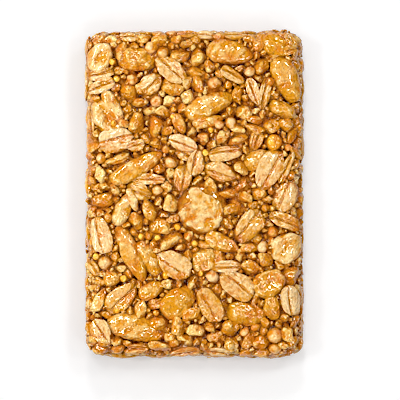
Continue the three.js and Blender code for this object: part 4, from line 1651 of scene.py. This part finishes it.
class ShaderGraph(Graph):
    """The node tree of one material, in millimetres."""

    def __init__(self, name: str) -> None:
        """Start an empty material.

        Args:
            name: Its name.
        """
        self.material = bpy.data.materials.new(name)
        self.material.use_nodes = True
        self.tree = self.material.node_tree
        self.tree.nodes.clear()
        place = self.node("ShaderNodeTexCoord", {}, {}, "Object")
        self.place = self.scaled(place, 1 / MM)

    def along(self, *factors: float) -> Wire:
        """Return the place in a piece's own frame, times a factor for each axis."""
        local = self.node("ShaderNodeAttribute", {"attribute_name": "local"}, {}, "Vector")
        return self.vectors("MULTIPLY", local, factors)

    def value(self, name: str) -> Wire:
        """Return a number that the mesh carries."""
        return self.node("ShaderNodeAttribute", {"attribute_name": name}, {}, "Fac")

    def noise(self, size: float, detail: float, at: Wire | None = None, turn: float = 0.0) -> Wire:
        """Return noise from 0 to 1.

        Args:
            size: The size of its features.
            detail: How many finer layers it has.
            at: Where it is read, or None for the object's own place.
            turn: Moves the pattern, so that two noises differ.

        Returns:
            The noise.
        """
        shift = (turn * 13.1, turn * 7.7, turn * 3.3)
        values = {
            "Vector": self.vectors("ADD", at or self.place, shift),
            "Scale": 1 / size,
            "Detail": detail,
        }
        return self.node("ShaderNodeTexNoise", {}, values)

    def mix(self, factor: Value, first: Value, second: Value) -> Wire:
        """Return a colour between two others."""
        values = {"Factor": factor, "A": first, "B": second}
        return self.node("ShaderNodeMix", {"data_type": "RGBA"}, values)

    def bump(self, height: Wire) -> Wire:
        """Return a normal from a height in millimetres."""
        return self.node("ShaderNodeBump", {}, {"Height": height, "Distance": MM})

    def surface(self, **values: Value) -> bpy.types.Material:
        """End the tree in a Principled shader.

        Args:
            **values: What goes into its sockets, with an underscore for each space.

        Returns:
            The material.
        """
        named = {name.replace("_", " "): value for name, value in values.items()}
        shader = self.node("ShaderNodeBsdfPrincipled", {}, named)
        out = self.tree.nodes.new("ShaderNodeOutputMaterial")
        self.tree.links.new(shader.socket, out.inputs["Surface"])
        return self.material


class GeometryGraph(Graph):
    """A Geometry Nodes tree with named inputs."""

    def __init__(self, name: str) -> None:
        """Start a tree that takes a geometry and returns one.

        Args:
            name: Its name.
        """
        self.tree = bpy.data.node_groups.new(name, "GeometryNodeTree")
        face = self.tree.interface
        face.new_socket(name="Geometry", in_out="INPUT", socket_type="NodeSocketGeometry")
        face.new_socket(name="Geometry", in_out="OUTPUT", socket_type="NodeSocketGeometry")
        self._start = self.tree.nodes.new("NodeGroupInput")
        self.geometry = Wire(self, self._start.outputs[0])

    def number(self, name: str, default: float | int) -> Wire:
        """Add a named input for a number.

        Args:
            name: Its name.
            default: Its value where nothing is given.

        Returns:
            The input.
        """
        kind = "NodeSocketInt" if isinstance(default, int) else "NodeSocketFloat"
        socket = self.tree.interface.new_socket(name=name, in_out="INPUT", socket_type=kind)
        socket.default_value = default
        return Wire(self, self._named(self._start.outputs, name))

    def vector(self, name: str) -> Wire:
        """Return the vector that the geometry carries under a name."""
        settings = {"data_type": "FLOAT_VECTOR"}
        return self.node("GeometryNodeInputNamedAttribute", settings, {"Name": name})

    def draw(self, low: int, high: int, seed: Value) -> Wire:
        """Return a seeded whole number for each element."""
        values = {"Min": low, "Max": high, "Seed": seed}
        return self.node("FunctionNodeRandomValue", {"data_type": "INT"}, values)

    def finish(self, geometry: Wire, material: bpy.types.Material) -> None:
        """Realize the instances, set the material and end the tree.

        Args:
            geometry: What the tree makes.
            material: Its material.
        """
        real = self.node("GeometryNodeRealizeInstances", {}, {"Geometry": geometry})
        values = {"Geometry": real, "Material": material}
        dressed = self.node("GeometryNodeSetMaterial", {}, values)
        end = self.tree.nodes.new("NodeGroupOutput")
        self.tree.links.new(dressed.socket, end.inputs[0])

    def bake(self, base: bpy.types.Object, values: dict[str, float | int]) -> None:
        """Run the tree on an object and keep the result as its plain mesh.

        Args:
            base: The object whose mesh goes in.
            values: The named inputs' values.
        """
        modifier = base.modifiers.new(self.tree.name, "NODES")
        modifier.node_group = self.tree
        for item in self.tree.interface.items_tree:
            if item.name in values:
                modifier[item.identifier] = values[item.name]
        depsgraph = bpy.context.evaluated_depsgraph_get()
        result = bpy.data.meshes.new_from_object(
            base.evaluated_get(depsgraph), preserve_all_data_layers=True, depsgraph=depsgraph
        )
        base.modifiers.clear()
        result.name = base.name
        base.data = result


# --- Finishes ---


@dataclass(frozen=True)
class GlazedFood:
    """Toasted food under a clear caramel coat, gathered in its hollows partly as painted shade.

    Attributes:
        name: The material's name.
        pale: The bare food where it is lightest.
        toasted: The bare food where it is darkest.
        amber: The glaze where it is thick.
        deep: Painted shade at the bottom of a gap and on a piece's low sides.
        cover: How much of the surface the glaze takes, from 0 to 1.
        patch: The size of the glaze's patches.
        orange: The glaze where it is boiled darkest, and painted shade in the folds.
        pit: How high the small bumps stand.
        pit_size: How wide the small bumps are.
        grit: How high the finest grain stands.
        fleck_and_glint: Pale specks, partly of sugar and flour and partly painted highlights.
        fleck_and_glint_share: How strongly they show.
        speckle: How mixed pale and toasted are.
        fold_glaze_and_shade: How much more glaze and painted shade lie in the folds.
    """

    name: str
    pale: Colour
    toasted: Colour
    amber: Colour
    deep: Colour = srgb(100, 38, 8)
    cover: float = 0.5
    patch: float = 2.2
    orange: Colour = srgb(195, 107, 18)
    pit: float = 0.2
    pit_size: float = 0.8
    grit: float = 0.06
    fleck_and_glint: Colour = srgb(255, 232, 180)
    fleck_and_glint_share: float = 0.4
    speckle: float = 2.4
    fold_glaze_and_shade: float = 0.7

    def relief(self, graph: ShaderGraph) -> Wire:
        """Return the height of the surface's own small forms, in millimetres."""
        bumps = (graph.noise(self.pit_size, 2.0) - 0.5) * (2.6 * self.pit)
        return bumps + (graph.noise(0.55, 1.0, turn=2) - 0.5) * (2.6 * self.grit)

    def marks(self, graph: ShaderGraph, bare: Wire) -> Wire:
        """Return the bare food's colour with its own marks."""
        return bare

    def build(self) -> bpy.types.Material:
        """Make the material.

        Returns:
            The material.
        """
        graph = ShaderGraph(self.name)
        tone, depth, low = graph.value("tone"), graph.value("depth"), graph.value("fall")
        fold = graph.value("hollow")
        hollow = 1 - graph.noise(self.pit_size, 3.0).between(0.36, 0.6)
        blotch = graph.noise(self.patch, 3.0, turn=1)
        speck = graph.noise(0.6, 2.0, turn=3)
        light = (0.5 + 0.5 * tone + self.speckle * (speck - 0.5)).clamped()
        bare = self.marks(graph, graph.mix(light, self.toasted, self.pale))
        # More amber in the hollows, folds and low sides: partly glaze, partly painted shade.
        reach = self.cover + 0.3 * (hollow - 0.5) + 1.6 * (blotch - 0.5)
        reach = reach + 0.9 * (low - 0.4) - 0.4 * tone
        reach = reach + self.fold_glaze_and_shade * (fold.between(-0.08, 0.12) - 0.43)
        glaze = reach.between(0.0, 0.9)
        boiled = graph.noise(5.0, 2.0, turn=9).between(0.46, 0.62)
        colour = graph.mix(glaze, bare, graph.mix(boiled * 0.75, self.amber, self.orange))
        # Orange in the folds: partly pooled glaze, partly painted shade.
        pooled_and_shaded = fold.between(0.04, 0.2) * (0.86 * self.fold_glaze_and_shade) * (1 - 0.5 * tone.between(0.5, 0.9))
        colour = graph.mix(pooled_and_shaded, colour, self.orange)
        # Pale specks towards the crowns: partly sugar and flour, partly painted highlights.
        grain = speck + 0.5 * (graph.noise(1.9, 2.0, turn=7) - 0.5) - 0.12 * low
        colour = graph.mix(grain.between(0.52, 0.64) * self.fleck_and_glint_share, colour, self.fleck_and_glint)
        # Painted shade: the low sides of each piece and what lies deep in a gap turn dark.
        rim = low.between(0.55, 1.0) * 0.32 + depth.between(1.4, 3.0) * 0.86
        colour = graph.mix(rim.clamped(), colour, self.deep)
        return graph.surface(
            Base_Color=colour,
            Roughness=0.6 - 0.2 * glaze,
            Specular_IOR_Level=0.0,
            Coat_Weight=(0.6 + 0.4 * glaze) * (1 - 0.85 * depth.between(0.8, 2.2)),
            Coat_Roughness=0.095,
            Coat_IOR=1.9,
            Subsurface_Weight=0.08,
            Subsurface_Radius=(1.0, 0.45, 0.18),
            Subsurface_Scale=0.8 * MM,
            Normal=graph.bump(self.relief(graph)),
        )


@dataclass(frozen=True)
class NutFinish(GlazedFood):
    """Roasted peanut, smooth, with faint wrinkles along it."""

    def relief(self, graph: ShaderGraph) -> Wire:
        """Return faint wrinkles along the nut over soft bumps."""
        wrinkle = graph.noise(0.7, 2.0, at=graph.along(0.35, 1.0, 1.0), turn=4)
        return super().relief(graph) + (wrinkle - 0.5) * (1.1 * self.pit)

    def marks(self, graph: ShaderGraph, bare: Wire) -> Wire:
        """Vein the nut with glaze along its length."""
        vein = graph.noise(1.2, 3.0, at=graph.along(0.35, 1.0, 0.6), turn=6)
        return graph.mix(vein.between(0.5, 0.64) * 0.38, bare, self.amber)


@dataclass(frozen=True)
class OatFinish(GlazedFood):
    """Rolled oat with its fine lines and its brown crease."""

    crease: Colour = srgb(138, 76, 18)

    def relief(self, graph: ShaderGraph) -> Wire:
        """Return fine lines along the flake over a floury grain."""
        lines = graph.noise(0.45, 3.0, at=graph.along(0.25, 1.0, 1.0), turn=4)
        return super().relief(graph) + (lines - 0.5) * (1.7 * self.pit)

    def marks(self, graph: ShaderGraph, bare: Wire) -> Wire:
        """Darken the crease and streak the flake along its length.

        Args:
            graph: The material's tree.
            bare: The bare food's colour.

        Returns:
            The colour.
        """
        offset = graph.value("seam") + (graph.noise(1.2, 2.0, turn=5) - 0.5) * 0.5
        crease = 1 - (offset * offset).between(0.0, 0.1)
        streak = graph.noise(0.5, 2.0, at=graph.along(0.2, 1.0, 1.0), turn=6)
        streaked = graph.mix(streak.between(0.45, 0.7) * 0.5, bare, self.toasted)
        return graph.mix(crease * 0.72, streaked, self.crease)


@dataclass(frozen=True)
class SyrupFinish:
    """Set caramel, clear amber where thin and nearly black where deep, partly as painted shade.

    Attributes:
        name: The material's name.
        crest: The crowns of its small lumps.
        thin: Where it is thin.
        thick: Where it is thick.
        deep: Painted shade where it is deepest.
    """

    name: str = "set_syrup"
    crest: Colour = srgb(212, 144, 44)
    thin: Colour = srgb(200, 128, 30)
    thick: Colour = srgb(158, 84, 14)
    deep: Colour = srgb(70, 22, 2)

    def build(self) -> bpy.types.Material:
        """Make the material.

        Returns:
            The material.
        """
        graph = ShaderGraph(self.name)
        depth = graph.value("depth")
        blotch = graph.noise(1.4, 3.0, turn=1)
        crumb = graph.noise(0.6, 3.0, turn=2)
        bent = graph.vectors("ADD", graph.place, crumb)
        values = {"Vector": bent, "Scale": 0.62, "Smoothness": 0.25}
        cell = graph.node("ShaderNodeTexVoronoi", {"feature": "SMOOTH_F1"}, values)
        lump = 1 - cell.between(0.1, 0.75)
        spark = graph.noise(0.5, 1.0, turn=3)
        # Darker with depth: partly thicker caramel, partly painted shade in the gaps.
        reach = depth + 1.2 * (blotch - 0.5) + 0.8 * (crumb - 0.5) - 0.7 * (lump - 0.4)
        colour = graph.mix(reach.between(0.7, 1.7), self.thin, self.thick)
        colour = graph.mix(reach.between(1.6, 2.6), colour, self.deep)
        colour = graph.mix(lump.between(0.3, 1.0) * 0.5, colour, self.crest)
        height = (crumb - 0.5) * 0.9 + (blotch - 0.5) * 0.9 + lump * 0.5 + (spark - 0.5) * 0.3
        return graph.surface(
            Base_Color=colour,
            Roughness=0.5,
            Specular_IOR_Level=0.0,
            Coat_Weight=1.0 - 0.9 * depth.between(0.7, 1.8) * (1 - 0.8 * spark.between(0.57, 0.63)),
            Coat_Roughness=0.07,
            Coat_IOR=1.8,
            Normal=graph.bump(height),
        )


PEANUT = NutFinish(
    "roasted_peanut", srgb(228, 197, 138), srgb(209, 154, 50), srgb(203, 135, 18), cover=0.78,
    patch=3.0, pit=0.28, pit_size=1.4, grit=0.19, fleck_and_glint_share=0.12, speckle=0.6,
)
OAT = OatFinish(
    "toasted_oat", srgb(228, 198, 152), srgb(210, 158, 78), srgb(202, 135, 22), cover=0.65,
    patch=2.4, pit=0.28, pit_size=1.0, grit=0.08, fleck_and_glint_share=0.2, speckle=0.8, fold_glaze_and_shade=0.35,
)
CRISP = GlazedFood(
    "toasted_crisp", srgb(228, 192, 118), srgb(208, 148, 42), srgb(200, 126, 15), cover=0.78,
    patch=2.0, pit=0.5, pit_size=1.4, grit=0.12, fleck_and_glint_share=0.3, speckle=1.1,
)
SORGHUM = GlazedFood(
    "sorghum_grain", srgb(229, 194, 142), srgb(212, 154, 62), srgb(203, 126, 16), cover=0.62,
    patch=2.2, pit=0.3, pit_size=1.2, grit=0.06, fleck_and_glint_share=0.2, speckle=0.9,
)
MILLET = GlazedFood(
    "millet_seed", srgb(250, 200, 84), srgb(242, 176, 40), srgb(226, 146, 18), cover=0.6,
    patch=1.2, pit=0.2, pit_size=0.8, grit=0.06, fleck_and_glint=srgb(255, 228, 150),
)
CRUMB = GlazedFood(
    "glazed_crumb", srgb(227, 189, 110), srgb(208, 146, 42), srgb(197, 122, 15), cover=0.78,
    patch=1.6, pit=0.5, pit_size=1.0, grit=0.14, fleck_and_glint_share=0.4, speckle=2.0,
)


# --- What repeats: seeds and crumbs ---


@dataclass
class Grains:
    """Small round things of one kind, set on their places by Geometry Nodes.

    Attributes:
        name: The object's name.
        slot: The record's material slot; not used.
        kind: The kind of piece.
        finish: Their finish.
        sizes: The least and the most length of its pieces.
        fineness: How finely each ball is cut.
        dent: How far a ball departs from round, as a share of its size.
        dent_size: How wide a dent is.
        broken: Whether they are broken chunks and not round.
        variants: How many shapes they are picked from.
    """

    name: str
    slot: str
    kind: Kind
    finish: GlazedFood
    sizes: tuple[float, float] = (0.0, math.inf)
    fineness: int = 3
    dent: float = 0.1
    dent_size: float = 1.7
    broken: bool = False
    variants: int = 9

    def shapes(self) -> bpy.types.Collection:
        """Make the shapes that the pieces are picked from.

        Returns:
            The shapes, each as large as a unit ball.
        """
        made = bpy.data.collections.new(self.name + "_shapes")
        mesh = bmesh.new()
        bmesh.ops.create_icosphere(mesh, subdivisions=self.fineness, radius=1.0)
        ball = np.array([vertex.co[:] for vertex in mesh.verts])
        faces = np.array([[vertex.index for vertex in face.verts] for face in mesh.faces])
        mesh.free()
        shape_one = chunk if self.broken else kernel
        for number in range(self.variants):
            unit = shape_one(ball, np.random.default_rng(number))
            surface = Surface(unit / MM, faces, {"fall": fall(unit[:, 2])})
            shape = surface.to_object(f"{self.name}_{number}")
            bpy.context.collection.objects.unlink(shape)
            made.objects.link(shape)
        return made

    def graph(self, shapes: bpy.types.Collection, material: bpy.types.Material) -> GeometryGraph:
        """Build the tree that sets a dented shape on each point, turned and sized by the point.

        Args:
            shapes: What is picked from.
            material: The pieces' material.

        Returns:
            The tree.
        """
        graph = GeometryGraph(self.name)
        dent = graph.number("Dent", 0.1)
        dent_size = graph.number("Dent size", MM)
        seed = graph.number("Seed", 1)
        size = graph.vector("size")
        turn = graph.node("FunctionNodeEulerToRotation", {}, {"Euler": graph.vector("turn")})
        values = {"Collection": shapes, "Separate Children": True, "Reset Children": True}
        values = {
            "Points": graph.geometry,
            "Instance": graph.node("GeometryNodeCollectionInfo", {}, values),
            "Pick Instance": True,
            "Instance Index": graph.draw(0, len(shapes.objects) - 1, seed),
            "Rotation": turn,
            "Scale": size,
        }
        pieces = graph.node("GeometryNodeInstanceOnPoints", {}, values)
        real = graph.node("GeometryNodeRealizeInstances", {}, {"Geometry": pieces})
        values = {"Scale": 1.0 / dent_size, "Detail": 1.0}
        noise = graph.node("ShaderNodeTexNoise", {}, values, "Color")
        extent = graph.node("ShaderNodeVectorMath", {"operation": "LENGTH"}, {0: size}, "Value")
        centred = graph.vectors("SUBTRACT", noise, (0.5, 0.5, 0.5))
        push = graph.scaled(centred, extent * dent * 2.0)
        moved = graph.node("GeometryNodeSetPosition", {}, {"Geometry": real, "Offset": push})
        graph.finish(moved, material)
        return graph

    def places(self, bits: list[Bit]) -> bpy.types.Object:
        """Make an object of loose points.

        Args:
            bits: One piece for each point.

        Returns:
            The object, whose points carry each piece's size, turn and tone.
        """
        frames = [Matrix(np.stack([bit.along, bit.across, bit.up]).T.tolist()) for bit in bits]
        halves = np.array([[bit.length / 2, bit.width / 2, bit.half] for bit in bits])
        values = {
            "size": MM * halves,
            "turn": np.array([list(frame.to_euler()) for frame in frames]),
            "tone": np.array([bit.tone for bit in bits]),
        }
        centres = np.stack([bit.centre for bit in bits])
        return Surface(centres, np.zeros((0, 3), int), values).to_object(self.name)

    def build(self, bits: list[Bit], form: BarForm) -> bpy.types.Object:
        """Set the pieces.

        Args:
            bits: Every piece in the bar.
            form: The outer form.

        Returns:
            The joined pieces.
        """
        least, most = self.sizes
        mine = [bit for bit in bits if bit.kind is self.kind and least <= bit.length < most]
        made = self.places(mine)
        shapes = self.shapes()
        self.graph(shapes, self.finish.build()).bake(
            made, {"Dent": self.dent, "Dent size": self.dent_size * MM, "Seed": SEED}
        )
        for shape in list(shapes.objects):
            bpy.data.objects.remove(shape)
        bpy.data.collections.remove(shapes)
        points, faces = read_mesh(made.data)
        points = form.press(points)
        made.data.vertices.foreach_set("co", (points * MM).astype(np.float32).ravel())
        write_values(made.data, "depth", form.depth(points))
        write_values(made.data, "hollow", hollows(points, faces))
        LOG.info("%s: %d pieces", self.name, len(mine))
        return made


# --- The bar, the studio and the run ---


@dataclass
class GranolaBar:
    """The whole bar: syrup, nuts, oats, crisps, seeds and crumbs."""

    form: BarForm = field(default_factory=BarForm)

    def build(self) -> None:
        """Build the bar in place of its solid."""
        bits = Arrangement(self.form).build()
        LOG.info("%d pieces laid", len(bits))
        for group in (
            Syrup(SyrupFinish()),
            Peanuts(PEANUT),
            OatFlakes(OAT),
            Crisps(CRISP),
            Grains("sorghum_grains", "sorghum", Kind.GRAIN, SORGHUM),
            Grains("millet_seeds", "millet", Kind.MILLET, MILLET, dent=0.05),
            Grains("crisp_crumbs", "crisp", Kind.CRUMB, CRUMB, (2.0, math.inf), 3, 0.25, 1.0, True),
            Grains("small_crumbs", "crisp", Kind.CRUMB, CRUMB, (0.0, 2.0), 2, 0.3, 0.7, True),
        ):
            made = group.build(bits, self.form)
            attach(made, BODY)
            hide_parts(NODE)
            count = len(made.data.polygons)
            LOG.info("%s: %d triangles, on %s in place of %s", made.name, count, BODY, NODE)


@dataclass(frozen=True)
class SoftLight:
    """A square soft light.

    Attributes:
        name: Its name.
        turn: Its direction from the bar in plan, in degrees from +X.
        rise: Its height above the floor's plane, in degrees.
        side: The length of its side, in metres.
        power: Its power, in watts.
        mirrored: Whether glossy surfaces mirror it.
        on_floor: Whether it lights the floor too.
        away: Its distance from the bar, in metres.
    """

    name: str
    turn: float
    rise: float
    side: float
    power: float
    mirrored: bool = True
    on_floor: bool = False
    away: float = 1.0


SOFT_LIGHTS = (
    SoftLight("overhead_light", 80, 86, 1.0, 2.2, mirrored=False, on_floor=True),
    SoftLight("left_light", 172, 34, 0.12, 0.46, mirrored=False, away=0.3),
    SoftLight("far_left_glint", 135, 56, 0.13, 1.95),
    SoftLight("far_glint", 92, 48, 0.11, 1.3, on_floor=True),
    SoftLight("left_glint", 184, 46, 0.12, 1.4),
    SoftLight("far_right_glint", 46, 58, 0.11, 0.75, on_floor=True),
    SoftLight("near_left_glint", 230, 58, 0.11, 1.1),
    SoftLight("near_glint", 275, 64, 0.09, 0.6, on_floor=True),
    SoftLight("near_right_glint", 322, 64, 0.09, 0.5, on_floor=True),
    SoftLight("far_crown_glint", 108, 72, 0.1, 1.0, on_floor=True),
    SoftLight("left_crown_glint", 170, 64, 0.1, 1.0, on_floor=True),
    SoftLight("right_crown_glint", 8, 64, 0.08, 0.6, on_floor=True),
    SoftLight("near_low_light", 268, 12, 0.2, 1.2, mirrored=False),
    SoftLight("far_low_light", 92, 12, 0.2, 1.2, mirrored=False),
    SoftLight("right_low_light", 2, 12, 0.2, 0.45, mirrored=False),
)


@dataclass
class Studio:
    """A pale floor, soft light and a camera straight above.

    Attributes:
        picture: The picture's side, in pixels.
        pixels: Pixels for each millimetre of the bar.
        middle_x: Where the middle of the bar lies in the picture, from its left side.
        middle_y: The same from its top.
        away: How far the camera is above the bar.
        level: The height on the bar where the scale holds.
        sharpness: How much the picture is sharpened.
        floor_half: Half the floor's side.
        room: The strength of the even light from all round.
    """

    picture: int = 400
    pixels: float = 3.837
    middle_x: float = 194.5
    middle_y: float = 194.0
    away: float = 620.0
    level: float = 9.0
    sharpness: float = 0.12
    floor_half: float = 1500.0
    room: float = 0.29

    def camera(self) -> None:
        """Hang the camera over the bar."""
        data = bpy.data.cameras.new("camera")
        data.sensor_width = 36.0
        data.lens = data.sensor_width * self.away * self.pixels / self.picture
        data.clip_end = 10.0
        made = bpy.data.objects.new("camera", data)
        x = (self.picture / 2 - self.middle_x) / self.pixels
        y = (self.middle_y - self.picture / 2) / self.pixels
        made.location = Vector((x, y, self.level + self.away)) * MM
        bpy.context.collection.objects.link(made)
        bpy.context.scene.camera = made

    def floor(self) -> bpy.types.Object:
        """Lay the pale floor.

        Returns:
            The floor.
        """
        material = ShaderGraph("pale_floor").surface(
            Base_Color=(0.82, 0.82, 0.825, 1.0),
            Roughness=1.0,
            Specular_IOR_Level=0.0,
            Emission_Color=WHITE,
            Emission_Strength=0.25,
        )
        corners = np.array([[-1, -1, 0], [1, -1, 0], [1, 1, 0], [-1, 1, 0]]) * self.floor_half
        made = Surface(corners, np.array([[0, 1, 2], [0, 2, 3]])).to_object("floor")
        made.data.materials.append(material)
        made.visible_diffuse = False
        return made

    def light(self, light: SoftLight, spared: bpy.types.Collection) -> None:
        """Hang a soft light that faces the bar.

        Args:
            light: The light.
            spared: What a light that isn't for the floor leaves unlit.
        """
        turn, rise = math.radians(light.turn), math.radians(light.rise)
        flat = math.cos(rise)
        place = Vector((math.cos(turn) * flat, math.sin(turn) * flat, math.sin(rise))) * light.away
        data = bpy.data.lights.new(light.name, "AREA")
        data.size = light.side
        data.energy = light.power
        made = bpy.data.objects.new(light.name, data)
        made.location = place
        made.visible_glossy = light.mirrored
        if not light.on_floor:
            made.light_linking.receiver_collection = spared
        made.rotation_euler = (-place).to_track_quat("-Z", "Y").to_euler()
        bpy.context.collection.objects.link(made)

    def world(self) -> None:
        """Fill the room with even pale light."""
        made = bpy.data.worlds.new("room")
        made.use_nodes = True
        background = made.node_tree.nodes["Background"]
        background.inputs["Color"].default_value = WHITE
        background.inputs["Strength"].default_value = self.room
        made.cycles_visibility.glossy = False
        bpy.context.scene.world = made

    def sharpen(self) -> None:
        """Sharpen the picture a little, as a camera does."""
        scene = bpy.context.scene
        scene.use_nodes = True
        tree = scene.node_tree
        tree.nodes.clear()
        layers = tree.nodes.new("CompositorNodeRLayers")
        sharp = tree.nodes.new("CompositorNodeFilter")
        sharp.filter_type = "SHARPEN_DIAMOND"
        sharp.inputs["Fac"].default_value = self.sharpness
        out = tree.nodes.new("CompositorNodeComposite")
        tree.links.new(layers.outputs["Image"], sharp.inputs["Image"])
        tree.links.new(sharp.outputs["Image"], out.inputs["Image"])

    def build(self) -> None:
        """Set up the whole studio."""
        bpy.context.scene.view_settings.view_transform = "Standard"
        self.sharpen()
        self.camera()
        self.world()
        spared = bpy.data.collections.new("spared_by_lights")
        spared.objects.link(self.floor())
        spared.collection_objects[0].light_linking.link_state = "EXCLUDE"
        for light in SOFT_LIGHTS:
            self.light(light, spared)


def main() -> None:
    """Build the studio and the bar."""
    logging.basicConfig(level=logging.INFO, format="%(name)s: %(message)s")
    Studio().build()
    GranolaBar().build()


if __name__ == "__main__":
    main()
